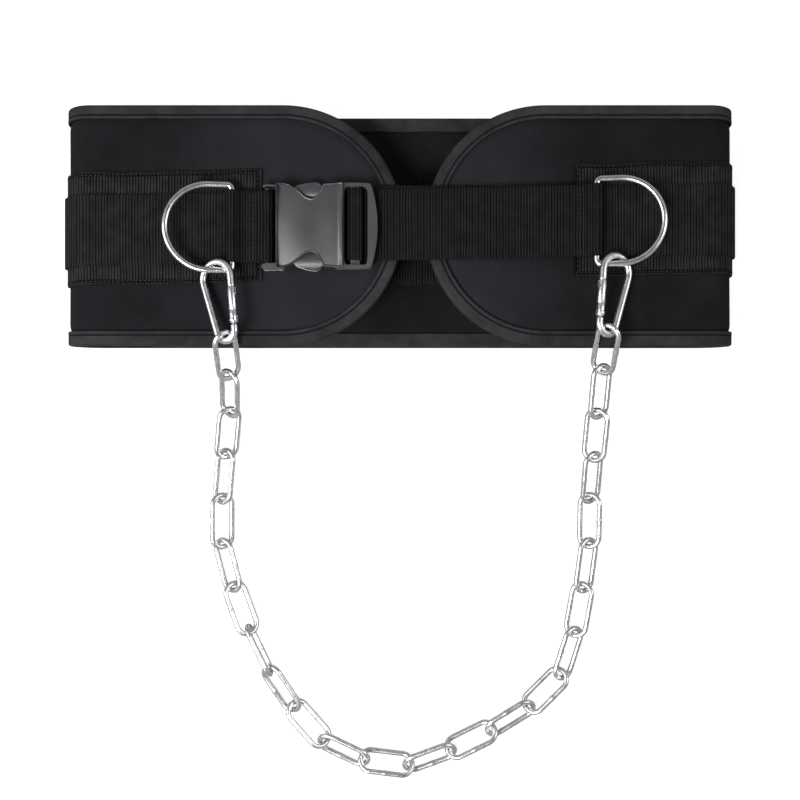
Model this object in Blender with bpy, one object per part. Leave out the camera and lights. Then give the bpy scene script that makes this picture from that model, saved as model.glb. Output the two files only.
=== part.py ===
# Dip belt, lying closed on a flat surface: a padded belt folded into a flat loop, sewn webbing,
# a side-release buckle, two D-rings, two snap hooks and a chain of long links on the floor.
# Metres, +Z up. X runs along the belt and Y across it. Everything is worked out from the middle of the
# belt on the floor, and at the end the whole model is moved so that its box stands on the origin.
import math

import bmesh
import bpy
import numpy as np
from mathutils import Matrix, Vector

# Clearance between pieces that touch, and how far a cutter reaches past what it cuts
gap = 0.0003
cut_over = 0.01

# Padded belt: a sheet with half-round ends, bent into a flat loop with its ends on top
belt_height = 0.160
belt_wall = 0.008
loop_depth = 0.0364
fold_span = 0.414
tip_gap = 0.015
tip_gap_shift = 0.0095
fold_steps = 10
tip_steps = 12

# Bound edge
binding_cover = 0.0095
binding_thick = 0.001
binding_corner = 0.0006

# Band inside the back panel
inner_band_length = 0.390
inner_band_thick = 0.0012

# Webbing: the wide one lies on the belt, the narrow ones on it. Both climb slightly towards the right.
webbing_width = 0.075
webbing_thick = 0.0015
webbing_left_end = -0.092
webbing_right_end = 0.116
webbing_shift = 0.0011
strap_width = 0.0475
strap_thick = 0.0015
strap_shift = -0.0004
strap_climb = 0.0175
load_strap_overlap = 0.002
sewn_length = 0.009
sewn_margin = 0.0015
sewn_end_gap = 0.0012
wrap_leave = 35.0
wrap_steps = 8
climb_margin = 0.0016

# Free end of the adjusting strap, under the strap itself and skewed upwards at the buckle
free_end_x = 0.066
free_end_skew = 0.003
binding_step_length = 0.0022
strap_bend = 0.002
return_start = 0.0018
return_drop = 0.0046

# How far the returning strap lies off the strap's line: over the centre bar, under it, at its drop, at its end
return_skew = (0.0002, 0.0003, 0.0005, 0.0004)

# D-rings
ring_wire = 0.0044
ring_height = 0.0606
ring_depth = 0.0475
ring_corner = 0.003
ring_tilt = math.radians(9)
ring_drop = 0.0010
ring_left_x = -0.1105
ring_right_x = 0.1295

# Buckle, along X from the socket's strap bar to the plug's end bar
mouth_x = -0.0374
buckle_width = 0.0562
buckle_drop = 0.0008
buckle_thick = 0.0128
housing_length = 0.0438
socket_bar_gap = 0.0064
socket_bar_width = 0.004
bar_thick = 0.003
bar_end_inset = 0.001
horn_width = 0.0030
horn_inset = 0.0002
horn_root = 0.003
housing_end_wall = 0.004
housing_draft = 0.0006
mouth_corner = 0.0012
notch_lip = 0.0006
notch_lip_draft = 0.0010
notch_depth = 0.0105
notch_length = 0.0195
notch_from_mouth = 0.0134
pocket_width = 0.0444
pocket_height = 0.0086
plug_length = 0.0226
plug_base_length = 0.0062
pad_clearance = 0.0004
plug_thick = 0.006
plug_rail = 0.0024
plug_end_bar = 0.0042
plug_end_bulge = 0.0022
plug_end_depth = 0.00374
plug_end_span = 0.76
plug_corner_length = 0.006
plug_corner_tip = 0.0035
plug_corner_drop = 0.0018
plug_chamfer = 0.0006
plug_chamfer_height = 0.0012
window_from_mouth = 0.0005
centre_bar_width = 0.007
centre_bar_from_mouth = 0.0078
prong_width = 0.0042
prong_reach = 0.034
prong_clearance = 0.0002
root_overlap = 0.002
pad_start = 0.0012
pad_end_drop = 0.001
pad_end_share = 1.02
pad_chamfer = 0.0006
pad_chamfer_height = 0.001
tongue_width = 0.007
middle_tongue_thick = 0.003

# Section of the housing, bottom to top: height and inset as shares of its thickness
housing_section = ((0.0, 0.125), (0.12, 0.039), (0.3, 0.0), (0.68, 0.0), (0.88, 0.055), (1.0, 0.203))

# Thumb notch: share of its length from the mouth's side, and share of its depth
notch_shape = ((0.02, 0.35), (0.12, 0.72), (0.28, 0.97), (0.42, 1.0), (0.6, 0.86), (0.8, 0.55), (1.0, 0.30),
               (1.22, 0.12))

# Thumb pad in it: share of the notch's length, and share of the way from the prong to the buckle's side
pad_shape = ((0.10, 0.66), (0.22, 0.97), (0.45, 0.93), (0.70, 0.72), (0.90, 0.46))

# Snap hooks
hook_wire = 0.0048
hook_length = 0.0575
hook_big_width = 0.027
hook_small_width = 0.0186
hook_turn = math.radians(5.2)
hook_slack = 0.0009
hook_sides = 8

# Place of each hook: how far out along its ring the big end's centre lies, how high over the ring's bar,
# how high the small end is over the belt's face, and how far the hook is rolled towards its gate
hook_left = (0.0098, 0.0015, 0.0120, math.radians(26))
hook_right = (0.0122, 0.0021, 0.0130, math.radians(29.5))

# Where an end link meets a hook, from the middle of the wire at the small end: along, outwards, up
seat_along = 0.0029
seat_out = 0.0015
seat_up = 0.0003

# Gates and their pins
gate_thick = 0.0054
gate_foot = 0.0124
gate_top = 0.0366
gate_pin_at = 0.0150
gate_slot = 0.0024
gate_slot_length = 0.0050
gate_foot_taper = 0.0016
gate_foot_scale = 0.45
gate_top_taper = 0.0008
gate_top_scale = 0.82
slot_over = 0.001
foot_slot_extra = 0.0006
tongue_thick = 0.0018
tongue_half_width = 0.0018
tongue_root = 0.0015
hinge_tongue_reach = 0.0018
nose_tongue_reach = 0.0032
pin_radius = 0.001
pin_clearance = 0.00015
pin_stand = 0.0002

# Chain
link_count = 24
link_inner_length = 0.0331
link_width = 0.0180
link_wire = 0.0036
link_roll = 33.0

# Heights of the joints next to each hook, where the chain comes down from the belt's edge to the floor
left_joint_heights = (0.0350, 0.0160)
right_joint_heights = (0.0370, 0.0265, 0.0165)

# Route of the chain on the floor from hook to hook: chosen points, left to right
chain_route = (
    (-0.1145, -0.0985), (-0.1180, -0.1250), (-0.1230, -0.1590), (-0.1258, -0.2120),
    (-0.1171, -0.2490), (-0.0985, -0.2930), (-0.0762, -0.3310), (-0.0450, -0.3625),
    (0.0035, -0.3741), (0.0420, -0.3600), (0.0882, -0.3346), (0.1160, -0.3060),
    (0.1262, -0.2620), (0.1330, -0.2200), (0.1340, -0.1575), (0.1349, -0.1270), (0.1354, -0.0980),
)

# Every link leans the other way than the one before it. One stands on edge, and the ends are turned further.
upright_link = 8
turned_links = {1: -36.0, 2: 32.0, upright_link: 90.0, 23: 32.0, 24: -36.0}

# Levels above the floor: the back lies on its strap, and the front is a loop's depth above it
webbing_under = gap
webbing_over = webbing_under + webbing_thick
strap_under = webbing_over + gap
strap_over = strap_under + strap_thick
back_face = strap_over
front_face = back_face + loop_depth
fold_radius = loop_depth / 2
fold_height = back_face + fold_radius

# Levels above the front face: lower and upper layer of the sewn straps, and the rings' bars
lower_layer = strap_over + gap + strap_thick / 2
upper_layer = lower_layer + strap_thick + gap
ring_bar_level = lower_layer + strap_thick / 2 + gap + ring_wire / 2
ring_wrap = ring_wire / 2 + gap + strap_thick / 2
buckle_floor = 0.0006
buckle_middle = buckle_floor + buckle_thick / 2


def clear_scene():
    for item in list(bpy.data.objects):
        bpy.data.objects.remove(item, do_unlink=True)


def material(name, colour, roughness, metallic=0.0):
    made = bpy.data.materials.get(name) or bpy.data.materials.new(name)
    made.use_nodes = True
    shader = made.node_tree.nodes["Principled BSDF"]
    shader.inputs["Base Color"].default_value = (*colour, 1.0)
    shader.inputs["Roughness"].default_value = roughness
    shader.inputs["Metallic"].default_value = metallic
    return made


def solid(name, mesh, finish, smooth=True):
    made = bpy.data.objects.new(name, mesh)
    bpy.context.scene.collection.objects.link(made)
    mesh.materials.clear()
    mesh.materials.append(finish)
    if smooth:
        mesh.shade_smooth()
        mesh.set_sharp_from_angle(angle=math.radians(35))
    return made


def mesh_from_rings(name, rings, closed):
    """Skin a row of rings with equal numbers of points: a closed chain of rings, or one with flat ends."""
    mesh = bmesh.new()
    rows = [[mesh.verts.new(point) for point in ring] for ring in rings]
    pairs = list(zip(rows, rows[1:]))
    if closed:
        pairs.append((rows[-1], rows[0]))
    for near, far in pairs:
        count = len(near)
        for i in range(count):
            j = (i + 1) % count
            mesh.faces.new((near[i], near[j], far[j], far[i]))
    if not closed:
        mesh.faces.new(rows[0][::-1])
        mesh.faces.new(rows[-1])
    bmesh.ops.recalc_face_normals(mesh, faces=mesh.faces)
    data = bpy.data.meshes.new(name)
    mesh.to_mesh(data)
    mesh.free()
    return data


def arc(centre, radius, start, end, steps):
    """Points of an arc in a plane, angles in degrees, both ends included."""
    angles = np.radians(np.linspace(start, end, steps + 1))
    return [(centre[0] + radius * math.cos(a), centre[1] + radius * math.sin(a)) for a in angles]


def wire_mesh(name, path, radius, sides, closed):
    """Round wire along a flat path (x, y) in its own plane z = 0, with mitred rings."""
    points = [Vector((x, y, 0)) for x, y in path]
    count = len(points)
    rings = []
    for i, point in enumerate(points):
        before = points[i - 1] if closed or i > 0 else None
        after = points[(i + 1) % count] if closed or i < count - 1 else None
        into = (point - before).normalized() if before is not None else (after - point).normalized()
        out = (after - point).normalized() if after is not None else into
        along = (into + out).normalized()
        across = Vector((-along.y, along.x, 0))
        stretch = 1 / max(along.dot(out), 0.5)
        ring = []
        for k in range(sides):
            angle = 2 * math.pi * (k + 0.5) / sides
            ring.append(point + across * (radius * math.cos(angle) * stretch)
                        + Vector((0, 0, radius * math.sin(angle))))
        rings.append(ring)
    return mesh_from_rings(name, rings, closed)


def block_mesh(name, outline, levels):
    """Flat outline (x, y) raised through levels (z, inset), each drawn in from the outline by its inset."""
    points = [Vector(p) for p in outline]
    count = len(points)
    inward = []
    for i, point in enumerate(points):
        into = (point - points[i - 1]).normalized()
        out = (points[(i + 1) % count] - point).normalized()
        along = (into + out).normalized()
        inward.append(Vector((-along.y, along.x)) / max(along.dot(out), 0.5))
    rings = []
    for z, inset in levels:
        rings.append([(*(p + n * inset), z) for p, n in zip(points, inward)])
    return mesh_from_rings(name, rings, closed=False)


def box_mesh(name, low, high):
    outline = [(low[0], low[1]), (high[0], low[1]), (high[0], high[1]), (low[0], high[1])]
    return block_mesh(name, outline, [(low[2], 0), (high[2], 0)])


def combine(target, tool_mesh, operation):
    """Join a mesh to an object, or cut it out, and keep the result as the object's own mesh."""
    tool = bpy.data.objects.new("tool", tool_mesh)
    bpy.context.scene.collection.objects.link(tool)
    change = target.modifiers.new(operation, "BOOLEAN")
    change.operation = operation
    change.solver = "EXACT"
    change.object = tool
    bpy.context.view_layer.update()
    evaluated = target.evaluated_get(bpy.context.evaluated_depsgraph_get())
    result = bpy.data.meshes.new_from_object(evaluated)
    clean = bmesh.new()
    clean.from_mesh(result)
    bmesh.ops.remove_doubles(clean, verts=clean.verts, dist=1e-6)
    bmesh.ops.dissolve_degenerate(clean, edges=clean.edges, dist=1e-6)
    bmesh.ops.triangulate(clean, faces=clean.faces)
    clean.to_mesh(result)
    clean.free()
    target.modifiers.clear()
    target.data = result
    bpy.data.objects.remove(tool, do_unlink=True)


def strap_middle(x):
    return strap_shift + strap_climb * x


def webbing_middle(x):
    return webbing_shift + strap_climb * x


def loop_stations(start_x, end_x):
    """Stations (x, z, normal x, normal z) along the loop's outer face: from a point on the right wing
    round the right fold, the back and the left fold to a point on the left wing."""
    half = fold_span / 2
    stations = [(start_x, front_face, 0.0, 1.0)]
    for side, first in ((half, 90.0), (-half, 270.0)):
        for k in range(fold_steps + 1):
            angle = math.radians(first - 180.0 * k / fold_steps)
            across, up = math.cos(angle), math.sin(angle)
            stations.append((side + fold_radius * across, fold_height + fold_radius * up, across, up))
    stations.append((end_x, front_face, 0.0, 1.0))
    return stations


def at_depth(station, y, outwards):
    x, z, across, up = station
    return (x + across * outwards, y, z + up * outwards)


def belt_stations(edge):
    """Loop stations with the half height of the belt's outline, drawn in by edge, and the outline's
    direction away from the belt's middle line: the tips are half circles, the rest is straight."""
    radius = belt_height / 2
    right_tip = tip_gap_shift + tip_gap / 2
    left_tip = tip_gap_shift - tip_gap / 2
    rows = []
    angles = [90 - 90 * k / (tip_steps / 2) / 2 for k in range(tip_steps + 1)]
    for angle in (a for a in angles if a > 0):
        c, s = math.cos(math.radians(angle)), math.sin(math.radians(angle))
        x = right_tip + radius - (radius - edge) * s
        rows.append(((x, front_face, 0.0, 1.0), (radius - edge) * c, -s, c))
    loop = loop_stations(right_tip + radius, left_tip - radius)
    for station in loop:
        rows.append((station, radius - edge, 0.0, 1.0))
    for angle in reversed([a for a in angles if a > 0]):
        c, s = math.cos(math.radians(angle)), math.sin(math.radians(angle))
        x = left_tip - radius + (radius - edge) * s
        rows.append(((x, front_face, 0.0, 1.0), (radius - edge) * c, s, c))
    return rows


def build_belt_body(finish):
    """The padded sheet: four points at each station, closed to an edge at both tips."""
    rows = belt_stations(binding_thick + gap)
    mesh = bmesh.new()
    sections = []
    for station, half, _, _ in rows:
        corners = [(-half, 0.0), (half, 0.0), (half, -belt_wall), (-half, -belt_wall)]
        if half < 1e-6:
            top = mesh.verts.new(at_depth(station, 0, 0.0))
            bottom = mesh.verts.new(at_depth(station, 0, -belt_wall))
            sections.append([top, top, bottom, bottom])
        else:
            sections.append([mesh.verts.new(at_depth(station, y, t)) for y, t in corners])
    for near, far in zip(sections, sections[1:]):
        for i in range(4):
            corner = (near[i], near[(i + 1) % 4], far[(i + 1) % 4], far[i])
            different = list(dict.fromkeys(corner))
            if len(different) > 2:
                mesh.faces.new(different)
    bmesh.ops.recalc_face_normals(mesh, faces=mesh.faces)
    data = bpy.data.meshes.new("belt_body")
    mesh.to_mesh(data)
    mesh.free()
    return solid("belt_body", data, finish)


def build_edge_binding(finish):
    """U section carried once round the outline: both long edges and both half-round tips."""
    inside = gap
    outside = gap + binding_thick
    corner = binding_corner
    section = [
        (binding_cover, outside), (corner, outside), (0.0, outside - corner),
        (0.0, -belt_wall - outside + corner), (corner, -belt_wall - outside),
        (binding_cover, -belt_wall - outside), (binding_cover, -belt_wall - inside),
        (binding_thick, -belt_wall - inside), (binding_thick, inside), (binding_cover, inside),
    ]
    rows = belt_stations(0.0)
    rings = []
    for side in (1, -1):
        ordered = rows if side > 0 else rows[::-1]
        for station, half, along, across in ordered:
            if half < 1e-6 and side < 0:
                continue
            x, z, normal_x, normal_z = station
            ring = []
            for inwards, outwards in section:
                moved = (x - along * inwards, z, normal_x, normal_z)
                ring.append(at_depth(moved, side * (half - across * inwards), outwards))
            rings.append(ring)
    return solid("edge_binding", mesh_from_rings("edge_binding", rings, closed=True), finish)


def band_round_loop(name, start_x, end_x, width, under, over, middle, finish):
    """Flat band sewn round the outside of the loop, between two heights over the belt's face."""
    rings = []
    for station in loop_stations(start_x, end_x):
        y = middle(station[0])
        low, high = y - width / 2, y + width / 2
        rings.append([at_depth(station, low, over), at_depth(station, high, over),
                      at_depth(station, high, under), at_depth(station, low, under)])
    return solid(name, mesh_from_rings(name, rings, closed=False), finish)


def build_inner_band(finish):
    """Band on the wearer's side of the back panel."""
    level = back_face + belt_wall + gap
    rings = []
    for x in (-inner_band_length / 2, inner_band_length / 2):
        y = webbing_middle(x)
        low, high = y - webbing_width / 2, y + webbing_width / 2
        rings.append([(x, low, level), (x, high, level),
                      (x, high, level + inner_band_thick), (x, low, level + inner_band_thick)])
    return solid("inner_band", mesh_from_rings("inner_band", rings, closed=False), finish)


def strap_mesh(name, path, thick):
    """Flat strap along a path of (x, z above the front face, shift across), seen from the side."""
    points = [Vector((x, z)) for x, z, _ in path]
    rings = []
    for i, point in enumerate(points):
        into = (point - points[i - 1]).normalized() if i > 0 else (points[1] - point).normalized()
        out = (points[i + 1] - point).normalized() if i < len(points) - 1 else into
        along = (into + out).normalized()
        across = Vector((-along.y, along.x)) * (thick / 2 / max(along.dot(out), 0.5))
        ring = []
        for way, side in ((1, -1), (1, 1), (-1, 1), (-1, -1)):
            x, z = point + across * way
            y = strap_middle(x) + path[i][2] + side * strap_width / 2
            ring.append((x, y, front_face + z))
        rings.append(ring)
    return mesh_from_rings(name, rings, closed=False)


def build_loop_strap(bar_x, socket_bar_x, finish):
    """Left strap: sewn end, round the ring's bar, over to the buckle, round its bar and back."""
    join_x = bar_x + sewn_length - sewn_margin
    wrap = arc((bar_x, ring_bar_level), ring_wrap, 270, 90 - wrap_leave, wrap_steps)
    socket_wrap = bar_thick / 2 + gap + strap_thick / 2
    socket_level = upper_layer - socket_wrap
    round_centre = (socket_bar_x + (socket_bar_width - bar_thick) / 2, socket_level)
    turn = arc(round_centre, socket_wrap, 90, -90, wrap_steps)
    climb_foot = socket_bar_x - socket_bar_width / 4
    climb_top = webbing_left_end - climb_margin
    path = [(join_x - gap, lower_layer)] + wrap
    path += [(join_x + 2 * gap, upper_layer)] + turn
    path += [(climb_foot, round_centre[1] - socket_wrap), (climb_top, lower_layer)]
    path += [(join_x + gap, lower_layer)]
    path = [(x, z, 0.0) for x, z in path]
    return solid("loop_strap", strap_mesh("loop_strap", path, strap_thick), finish)


def build_adjusting_strap(bar_x, centre_bar_x, finish):
    """Right strap: sewn end, round the ring's bar, along to the buckle, round the plug's centre bar and
    back underneath itself to the free end."""
    join_x = bar_x - sewn_length + sewn_margin
    wrap = arc((bar_x, ring_bar_level), ring_wrap, -90, 90 + wrap_leave, wrap_steps)
    bar_level = buckle_middle - plug_thick / 2 + bar_thick / 2
    bar_wrap = bar_thick / 2 + gap + strap_thick / 2
    reach = centre_bar_width / 2 - bar_thick / 2
    entry_level = bar_level - bar_wrap
    right_side = centre_bar_x + reach + bar_wrap
    entry = arc((right_side + strap_bend, entry_level + strap_bend), strap_bend, 270, 180, 4)
    over = arc((centre_bar_x + reach, bar_level), bar_wrap, 0, 90, wrap_steps // 2)
    back = arc((centre_bar_x - reach, bar_level), bar_wrap, 90, 270, wrap_steps)
    low_level = entry_level - strap_thick - gap
    bar_left = centre_bar_x - reach
    plug_end = mouth_x + plug_length
    step_x = plug_end + binding_step_length
    step = gap + binding_thick + gap + strap_thick / 2 - low_level
    slope = (upper_layer - entry_level - step) / (join_x - step_x)
    over_skew, under_skew, drop_skew, end_skew = return_skew
    path = [(join_x + sewn_end_gap, lower_layer, 0.0)]
    path += [(x, z, 0.0) for x, z in wrap]
    path += [(join_x, upper_layer, 0.0), (step_x, entry_level + step, 0.0), (plug_end, entry_level, 0.0)]
    path += [(x, z, 0.0) for x, z in entry + over]
    path += [(x, z, over_skew) for x, z in back]
    path += [(bar_left + return_start, entry_level, under_skew), (bar_left + return_drop, low_level, drop_skew)]
    path += [(plug_end, low_level, free_end_skew), (step_x, low_level + step, free_end_skew)]
    path += [(free_end_x, low_level + step + slope * (free_end_x - step_x), end_skew)]
    return solid("adjusting_strap", strap_mesh("adjusting_strap", path, strap_thick), finish)


def ring_path():
    """Centre line of a D-ring: the bar at x = 0, straight legs and a half circle towards +x."""
    radius = (ring_height - ring_wire) / 2
    legs = ring_depth - ring_wire / 2 - ring_wire / 2 - radius
    path = arc((ring_corner, radius - ring_corner), ring_corner, 180, 90, 3)
    path += arc((legs, 0), radius, 90, -90, 14)
    path += arc((ring_corner, -radius + ring_corner), ring_corner, 270, 180, 3)
    return path


def ring_frame(bar_x, side):
    """Place of a ring: its bar in the strap, its round side outwards and tilted up."""
    outwards = Vector((side * math.cos(ring_tilt), 0, math.sin(ring_tilt)))
    along = Vector((0, side, 0))
    upwards = outwards.cross(along)
    place = Matrix((outwards, along, upwards)).transposed().to_4x4()
    place.translation = (bar_x, strap_middle(bar_x) - ring_drop, front_face + ring_bar_level)
    return place


def build_ring(name, mesh, bar_x, side, finish):
    ring = solid(name, mesh, finish)
    ring.matrix_world = ring_frame(bar_x, side)
    return ring


def buckle_outline_side(x_mouth, half):
    """Upper edge of the housing from the mouth to the strap side, with the scooped notch for a thumb."""
    start = x_mouth - notch_from_mouth
    points = [(x_mouth - mouth_corner, half - housing_draft), (start + notch_lip, half - notch_lip_draft)]
    for share, depth in notch_shape:
        points.append((start - share * notch_length, half - depth * notch_depth))
    points.append((x_mouth - housing_length, half - housing_draft))
    return points


def build_socket(finish):
    """Socket half: a hollow housing with two notches, and horns that carry the strap bar."""
    half = buckle_width / 2
    y = strap_middle(mouth_x - housing_length / 2) - buckle_drop
    upper = buckle_outline_side(mouth_x, half)
    outline = [(x, -z) for x, z in upper[::-1]] + upper
    outline = [(x, y + z) for x, z in outline]
    levels = [(front_face + buckle_floor + share * buckle_thick, inset * buckle_thick)
              for share, inset in housing_section]
    socket = solid("buckle_socket", block_mesh("buckle_socket", outline, levels), finish)
    middle = front_face + buckle_middle
    left = mouth_x - housing_length
    bar_x = left - socket_bar_gap
    bar_level = front_face + upper_layer - bar_thick / 2 - gap - strap_thick / 2
    for side in (1, -1):
        inner, outer = y + side * (half - horn_width), y + side * (half - horn_inset)
        horn = box_mesh("horn", (bar_x - socket_bar_width / 2, min(inner, outer), bar_level - bar_thick / 2),
                        (left + horn_root, max(inner, outer), middle))
        combine(socket, horn, "UNION")
    flat = socket_bar_width - bar_thick
    profile = arc((0, 0), bar_thick / 2, 90, 270, 4) + arc((flat, 0), bar_thick / 2, -90, 90, 4)
    bar = block_mesh("bar", profile, [(y - half + bar_end_inset, 0), (y + half - bar_end_inset, 0)])
    turn = Matrix(((1, 0, 0, bar_x - flat / 2), (0, 0, 1, 0), (0, 1, 0, bar_level), (0, 0, 0, 1)))
    bar.transform(turn)
    bar.flip_normals()
    combine(socket, bar, "UNION")
    pocket = box_mesh("pocket", (left + housing_end_wall, y - pocket_width / 2, middle - pocket_height / 2),
                      (mouth_x + cut_over, y + pocket_width / 2, middle + pocket_height / 2))
    combine(socket, pocket, "DIFFERENCE")
    inner = pocket_width / 2 - gap * 2
    for side in (1, -1):
        pad = [(x, y + across) for x, across in prong_outline(side, inner, half, mouth_x - plug_base_length)]
        window = [(middle - pocket_height / 2, -pad_clearance), (middle + pocket_height / 2, -pad_clearance)]
        combine(socket, block_mesh("window", pad, window), "DIFFERENCE")
    return socket


def build_plug(finish):
    """Plug half: frame with a window and a centre bar for the strap, two prongs with thumb pads in the
    housing's notches, and a middle tongue."""
    half = buckle_width / 2
    y = strap_middle(mouth_x - housing_length / 2) - buckle_drop
    middle = front_face + buckle_middle
    low, high = middle - plug_thick / 2, middle + plug_thick / 2
    inner = pocket_width / 2 - gap * 2
    end = mouth_x + plug_length
    base = mouth_x - plug_base_length
    face = mouth_x + gap
    corner = [(end - plug_corner_tip, half - plug_corner_drop), (end - plug_corner_length, half), (face, half)]
    opposite = [(px, -py) for px, py in corner[::-1]]
    turns = np.radians(np.linspace(-60, 60, 7))
    depth = (1 - np.cos(turns)) / (1 - math.cos(turns[0]))
    bulge = list(zip(end - plug_end_depth * depth, half * plug_end_span * np.sin(turns) / math.sin(turns[-1])))
    outline = [(base, -inner), (face, -inner)] + opposite + bulge + corner + [(face, inner), (base, inner)]
    outline = [(px, y + py) for px, py in outline]
    levels = [(low, plug_chamfer), (low + plug_chamfer_height, 0.0), (high - plug_chamfer_height, 0.0),
              (high, plug_chamfer)]
    plug = solid("buckle_plug", block_mesh("buckle_plug", outline, levels), finish)
    window_end = end - plug_end_bar - plug_end_bulge
    window = box_mesh("window", (mouth_x + window_from_mouth, y - half + plug_rail, low - cut_over),
                      (window_end, y + half - plug_rail, high + cut_over))
    combine(plug, window, "DIFFERENCE")
    centre_x = mouth_x + centre_bar_from_mouth
    reach = centre_bar_width / 2 - bar_thick / 2
    profile = arc((-reach, 0), bar_thick / 2, 90, 270, 4) + arc((reach, 0), bar_thick / 2, -90, 90, 4)
    bar = block_mesh("bar", profile, [(y - half + bar_end_inset, 0), (y + half - bar_end_inset, 0)])
    bar.transform(Matrix(((1, 0, 0, centre_x), (0, 0, 1, 0), (0, 1, 0, low + bar_thick / 2), (0, 0, 0, 1))))
    bar.flip_normals()
    combine(plug, bar, "UNION")
    pad_half = pocket_height / 2 - gap
    for side in (1, -1):
        prong = prong_outline(side, inner, half, base)
        prong = [(px, y + py) for px, py in prong]
        levels = [(middle - pad_half, pad_chamfer), (middle - pad_half + pad_chamfer_height, 0),
                  (middle + pad_half - pad_chamfer_height, 0), (middle + pad_half, pad_chamfer)]
        combine(plug, block_mesh("prong", prong, levels), "UNION")
    thick = middle_tongue_thick / 2
    tongue = box_mesh("tongue", (mouth_x - prong_reach, y - tongue_width / 2, middle - thick),
                      (base + root_overlap, y + tongue_width / 2, middle + thick))
    combine(plug, tongue, "UNION")
    return plug


def prong_outline(side, inner, half, base):
    """Side prong with its thumb pad, counter-clockwise, seen from above, in the notch's own shape."""
    start = mouth_x - notch_from_mouth
    end = start - pad_end_share * notch_length
    outer = [(base + root_overlap, inner - prong_clearance), (start + pad_start, inner - prong_clearance)]
    for share, rise in pad_shape:
        outer.append((start - share * notch_length, inner + rise * (half - inner)))
    outer.append((end, inner - pad_end_drop))
    inside = [(end, inner - prong_width), (base + root_overlap, inner - prong_width)]
    outline = outer + inside
    if side < 0:
        return [(x, -y) for x, y in outline[::-1]]
    return outline


def hook_geometry():
    """Pear shape of a hook in its own plane: x from the small end to the big end, y towards the gate."""
    big = (hook_big_width - hook_wire) / 2
    small = (hook_small_width - hook_wire) / 2
    big_centre = (hook_length - hook_wire / 2 - big, 0.0)
    small_centre = (hook_wire / 2 + small, big - small)
    return big, small, big_centre, small_centre


def hook_path():
    """Centre line of a hook's wire: from the gate's nose round the big end, down the slanting leg and
    round the small end to the gate's foot."""
    big, small, big_centre, small_centre = hook_geometry()
    dx = big_centre[0] - small_centre[0]
    dy = big_centre[1] - small_centre[1]
    lean = math.degrees(math.atan2(dy, dx) - math.asin((big - small) / math.hypot(dx, dy)))
    path = [(gate_top + gap, big)]
    path += arc(big_centre, big, 90, -90 + lean, 12)
    path += arc(small_centre, small, -90 + lean, -270, 9)
    path += [(gate_foot - gap, big)]
    return path


def hook_frame(bar_x, side, out, rise, tip_rise, roll):
    """Place of a hook: its big end through the ring's lower leg, over it on the gate's side and under it
    on the other, and its small end lifted by the first link, which lies over the belt's edge."""
    big, small, big_centre, small_centre = hook_geometry()
    drop = big - hook_wire / 2 - ring_wire / 2 - hook_slack
    leg_y = strap_middle(bar_x) - ring_drop - (ring_height - ring_wire) / 2
    centre = Vector((bar_x + side * out, leg_y - drop, front_face + ring_bar_level + rise))
    pitch = math.asin((centre.z - front_face - tip_rise) / (big_centre[0] - small_centre[0]))
    flat = Vector((side * math.sin(hook_turn), math.cos(hook_turn), 0))
    along = flat * math.cos(pitch) + Vector((0, 0, math.sin(pitch)))
    level = Vector((0, 0, 1)).cross(flat) * side
    upright = along.cross(level) * side
    across = level * math.cos(roll) + upright * math.sin(roll)
    normal = along.cross(across)
    place = Matrix((along, across, normal)).transposed().to_4x4()
    place.translation = centre - place.to_3x3() @ Vector((*big_centre, 0))
    return place


def build_hook(side_name, place, finish):
    """Snap hook: bent wire with a flat tongue at the hinge and one at the nose."""
    big = hook_geometry()[0]
    hook = solid("hook_" + side_name, wire_mesh("hook", hook_path(), hook_wire / 2, hook_sides, False), finish)
    for low, high in ((gate_foot - tongue_root, gate_pin_at + hinge_tongue_reach),
                      (gate_top - nose_tongue_reach, gate_top + tongue_root)):
        slab = box_mesh("slab", (low, big - tongue_half_width, -tongue_thick / 2),
                        (high, big + tongue_half_width, tongue_thick / 2))
        combine(hook, slab, "UNION")
    bore = block_mesh("bore", arc((gate_pin_at, big), pin_radius + pin_clearance, 0, 330, 11),
                      [(-gate_thick, 0), (gate_thick, 0)])
    combine(hook, bore, "DIFFERENCE")
    hook.matrix_world = place
    return hook


def build_gate(side_name, place, finish):
    """Gate: a straight bar, forked at both ends, with its origin on its pin."""
    big = hook_geometry()[0]
    radius = gate_thick / 2
    profile = arc((0, 0), radius, 22.5, 337.5, 7)
    rings = []
    for x, scale in ((gate_foot, gate_foot_scale), (gate_foot + gate_foot_taper, 1.0),
                     (gate_top - gate_top_taper, 1.0), (gate_top, gate_top_scale)):
        rings.append([(x - gate_pin_at, y * scale, z * scale) for y, z in profile])
    gate = solid("gate_" + side_name, mesh_from_rings("gate", rings, closed=False), finish)
    for low, high in ((gate_foot - slot_over, gate_foot + gate_slot_length + foot_slot_extra),
                      (gate_top - gate_slot_length, gate_top + slot_over)):
        slot = box_mesh("slot", (low - gate_pin_at, -gate_thick, -gate_slot / 2),
                        (high - gate_pin_at, gate_thick, gate_slot / 2))
        combine(gate, slot, "DIFFERENCE")
    bore = block_mesh("bore", arc((0, 0), pin_radius + pin_clearance, 0, 330, 11),
                      [(-gate_thick, 0), (gate_thick, 0)])
    combine(gate, bore, "DIFFERENCE")
    gate.matrix_world = place @ Matrix.Translation((gate_pin_at, big, 0))
    return gate


def build_pin(side_name, place, finish):
    big = hook_geometry()[0]
    long = gate_thick / 2 + pin_stand
    mesh = block_mesh("pin", arc((0, 0), pin_radius, 0, 330, 11), [(-long, 0), (long, 0)])
    pin = solid("pin_" + side_name, mesh, finish)
    pin.matrix_world = place @ Matrix.Translation((gate_pin_at, big, 0))
    return pin


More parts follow.
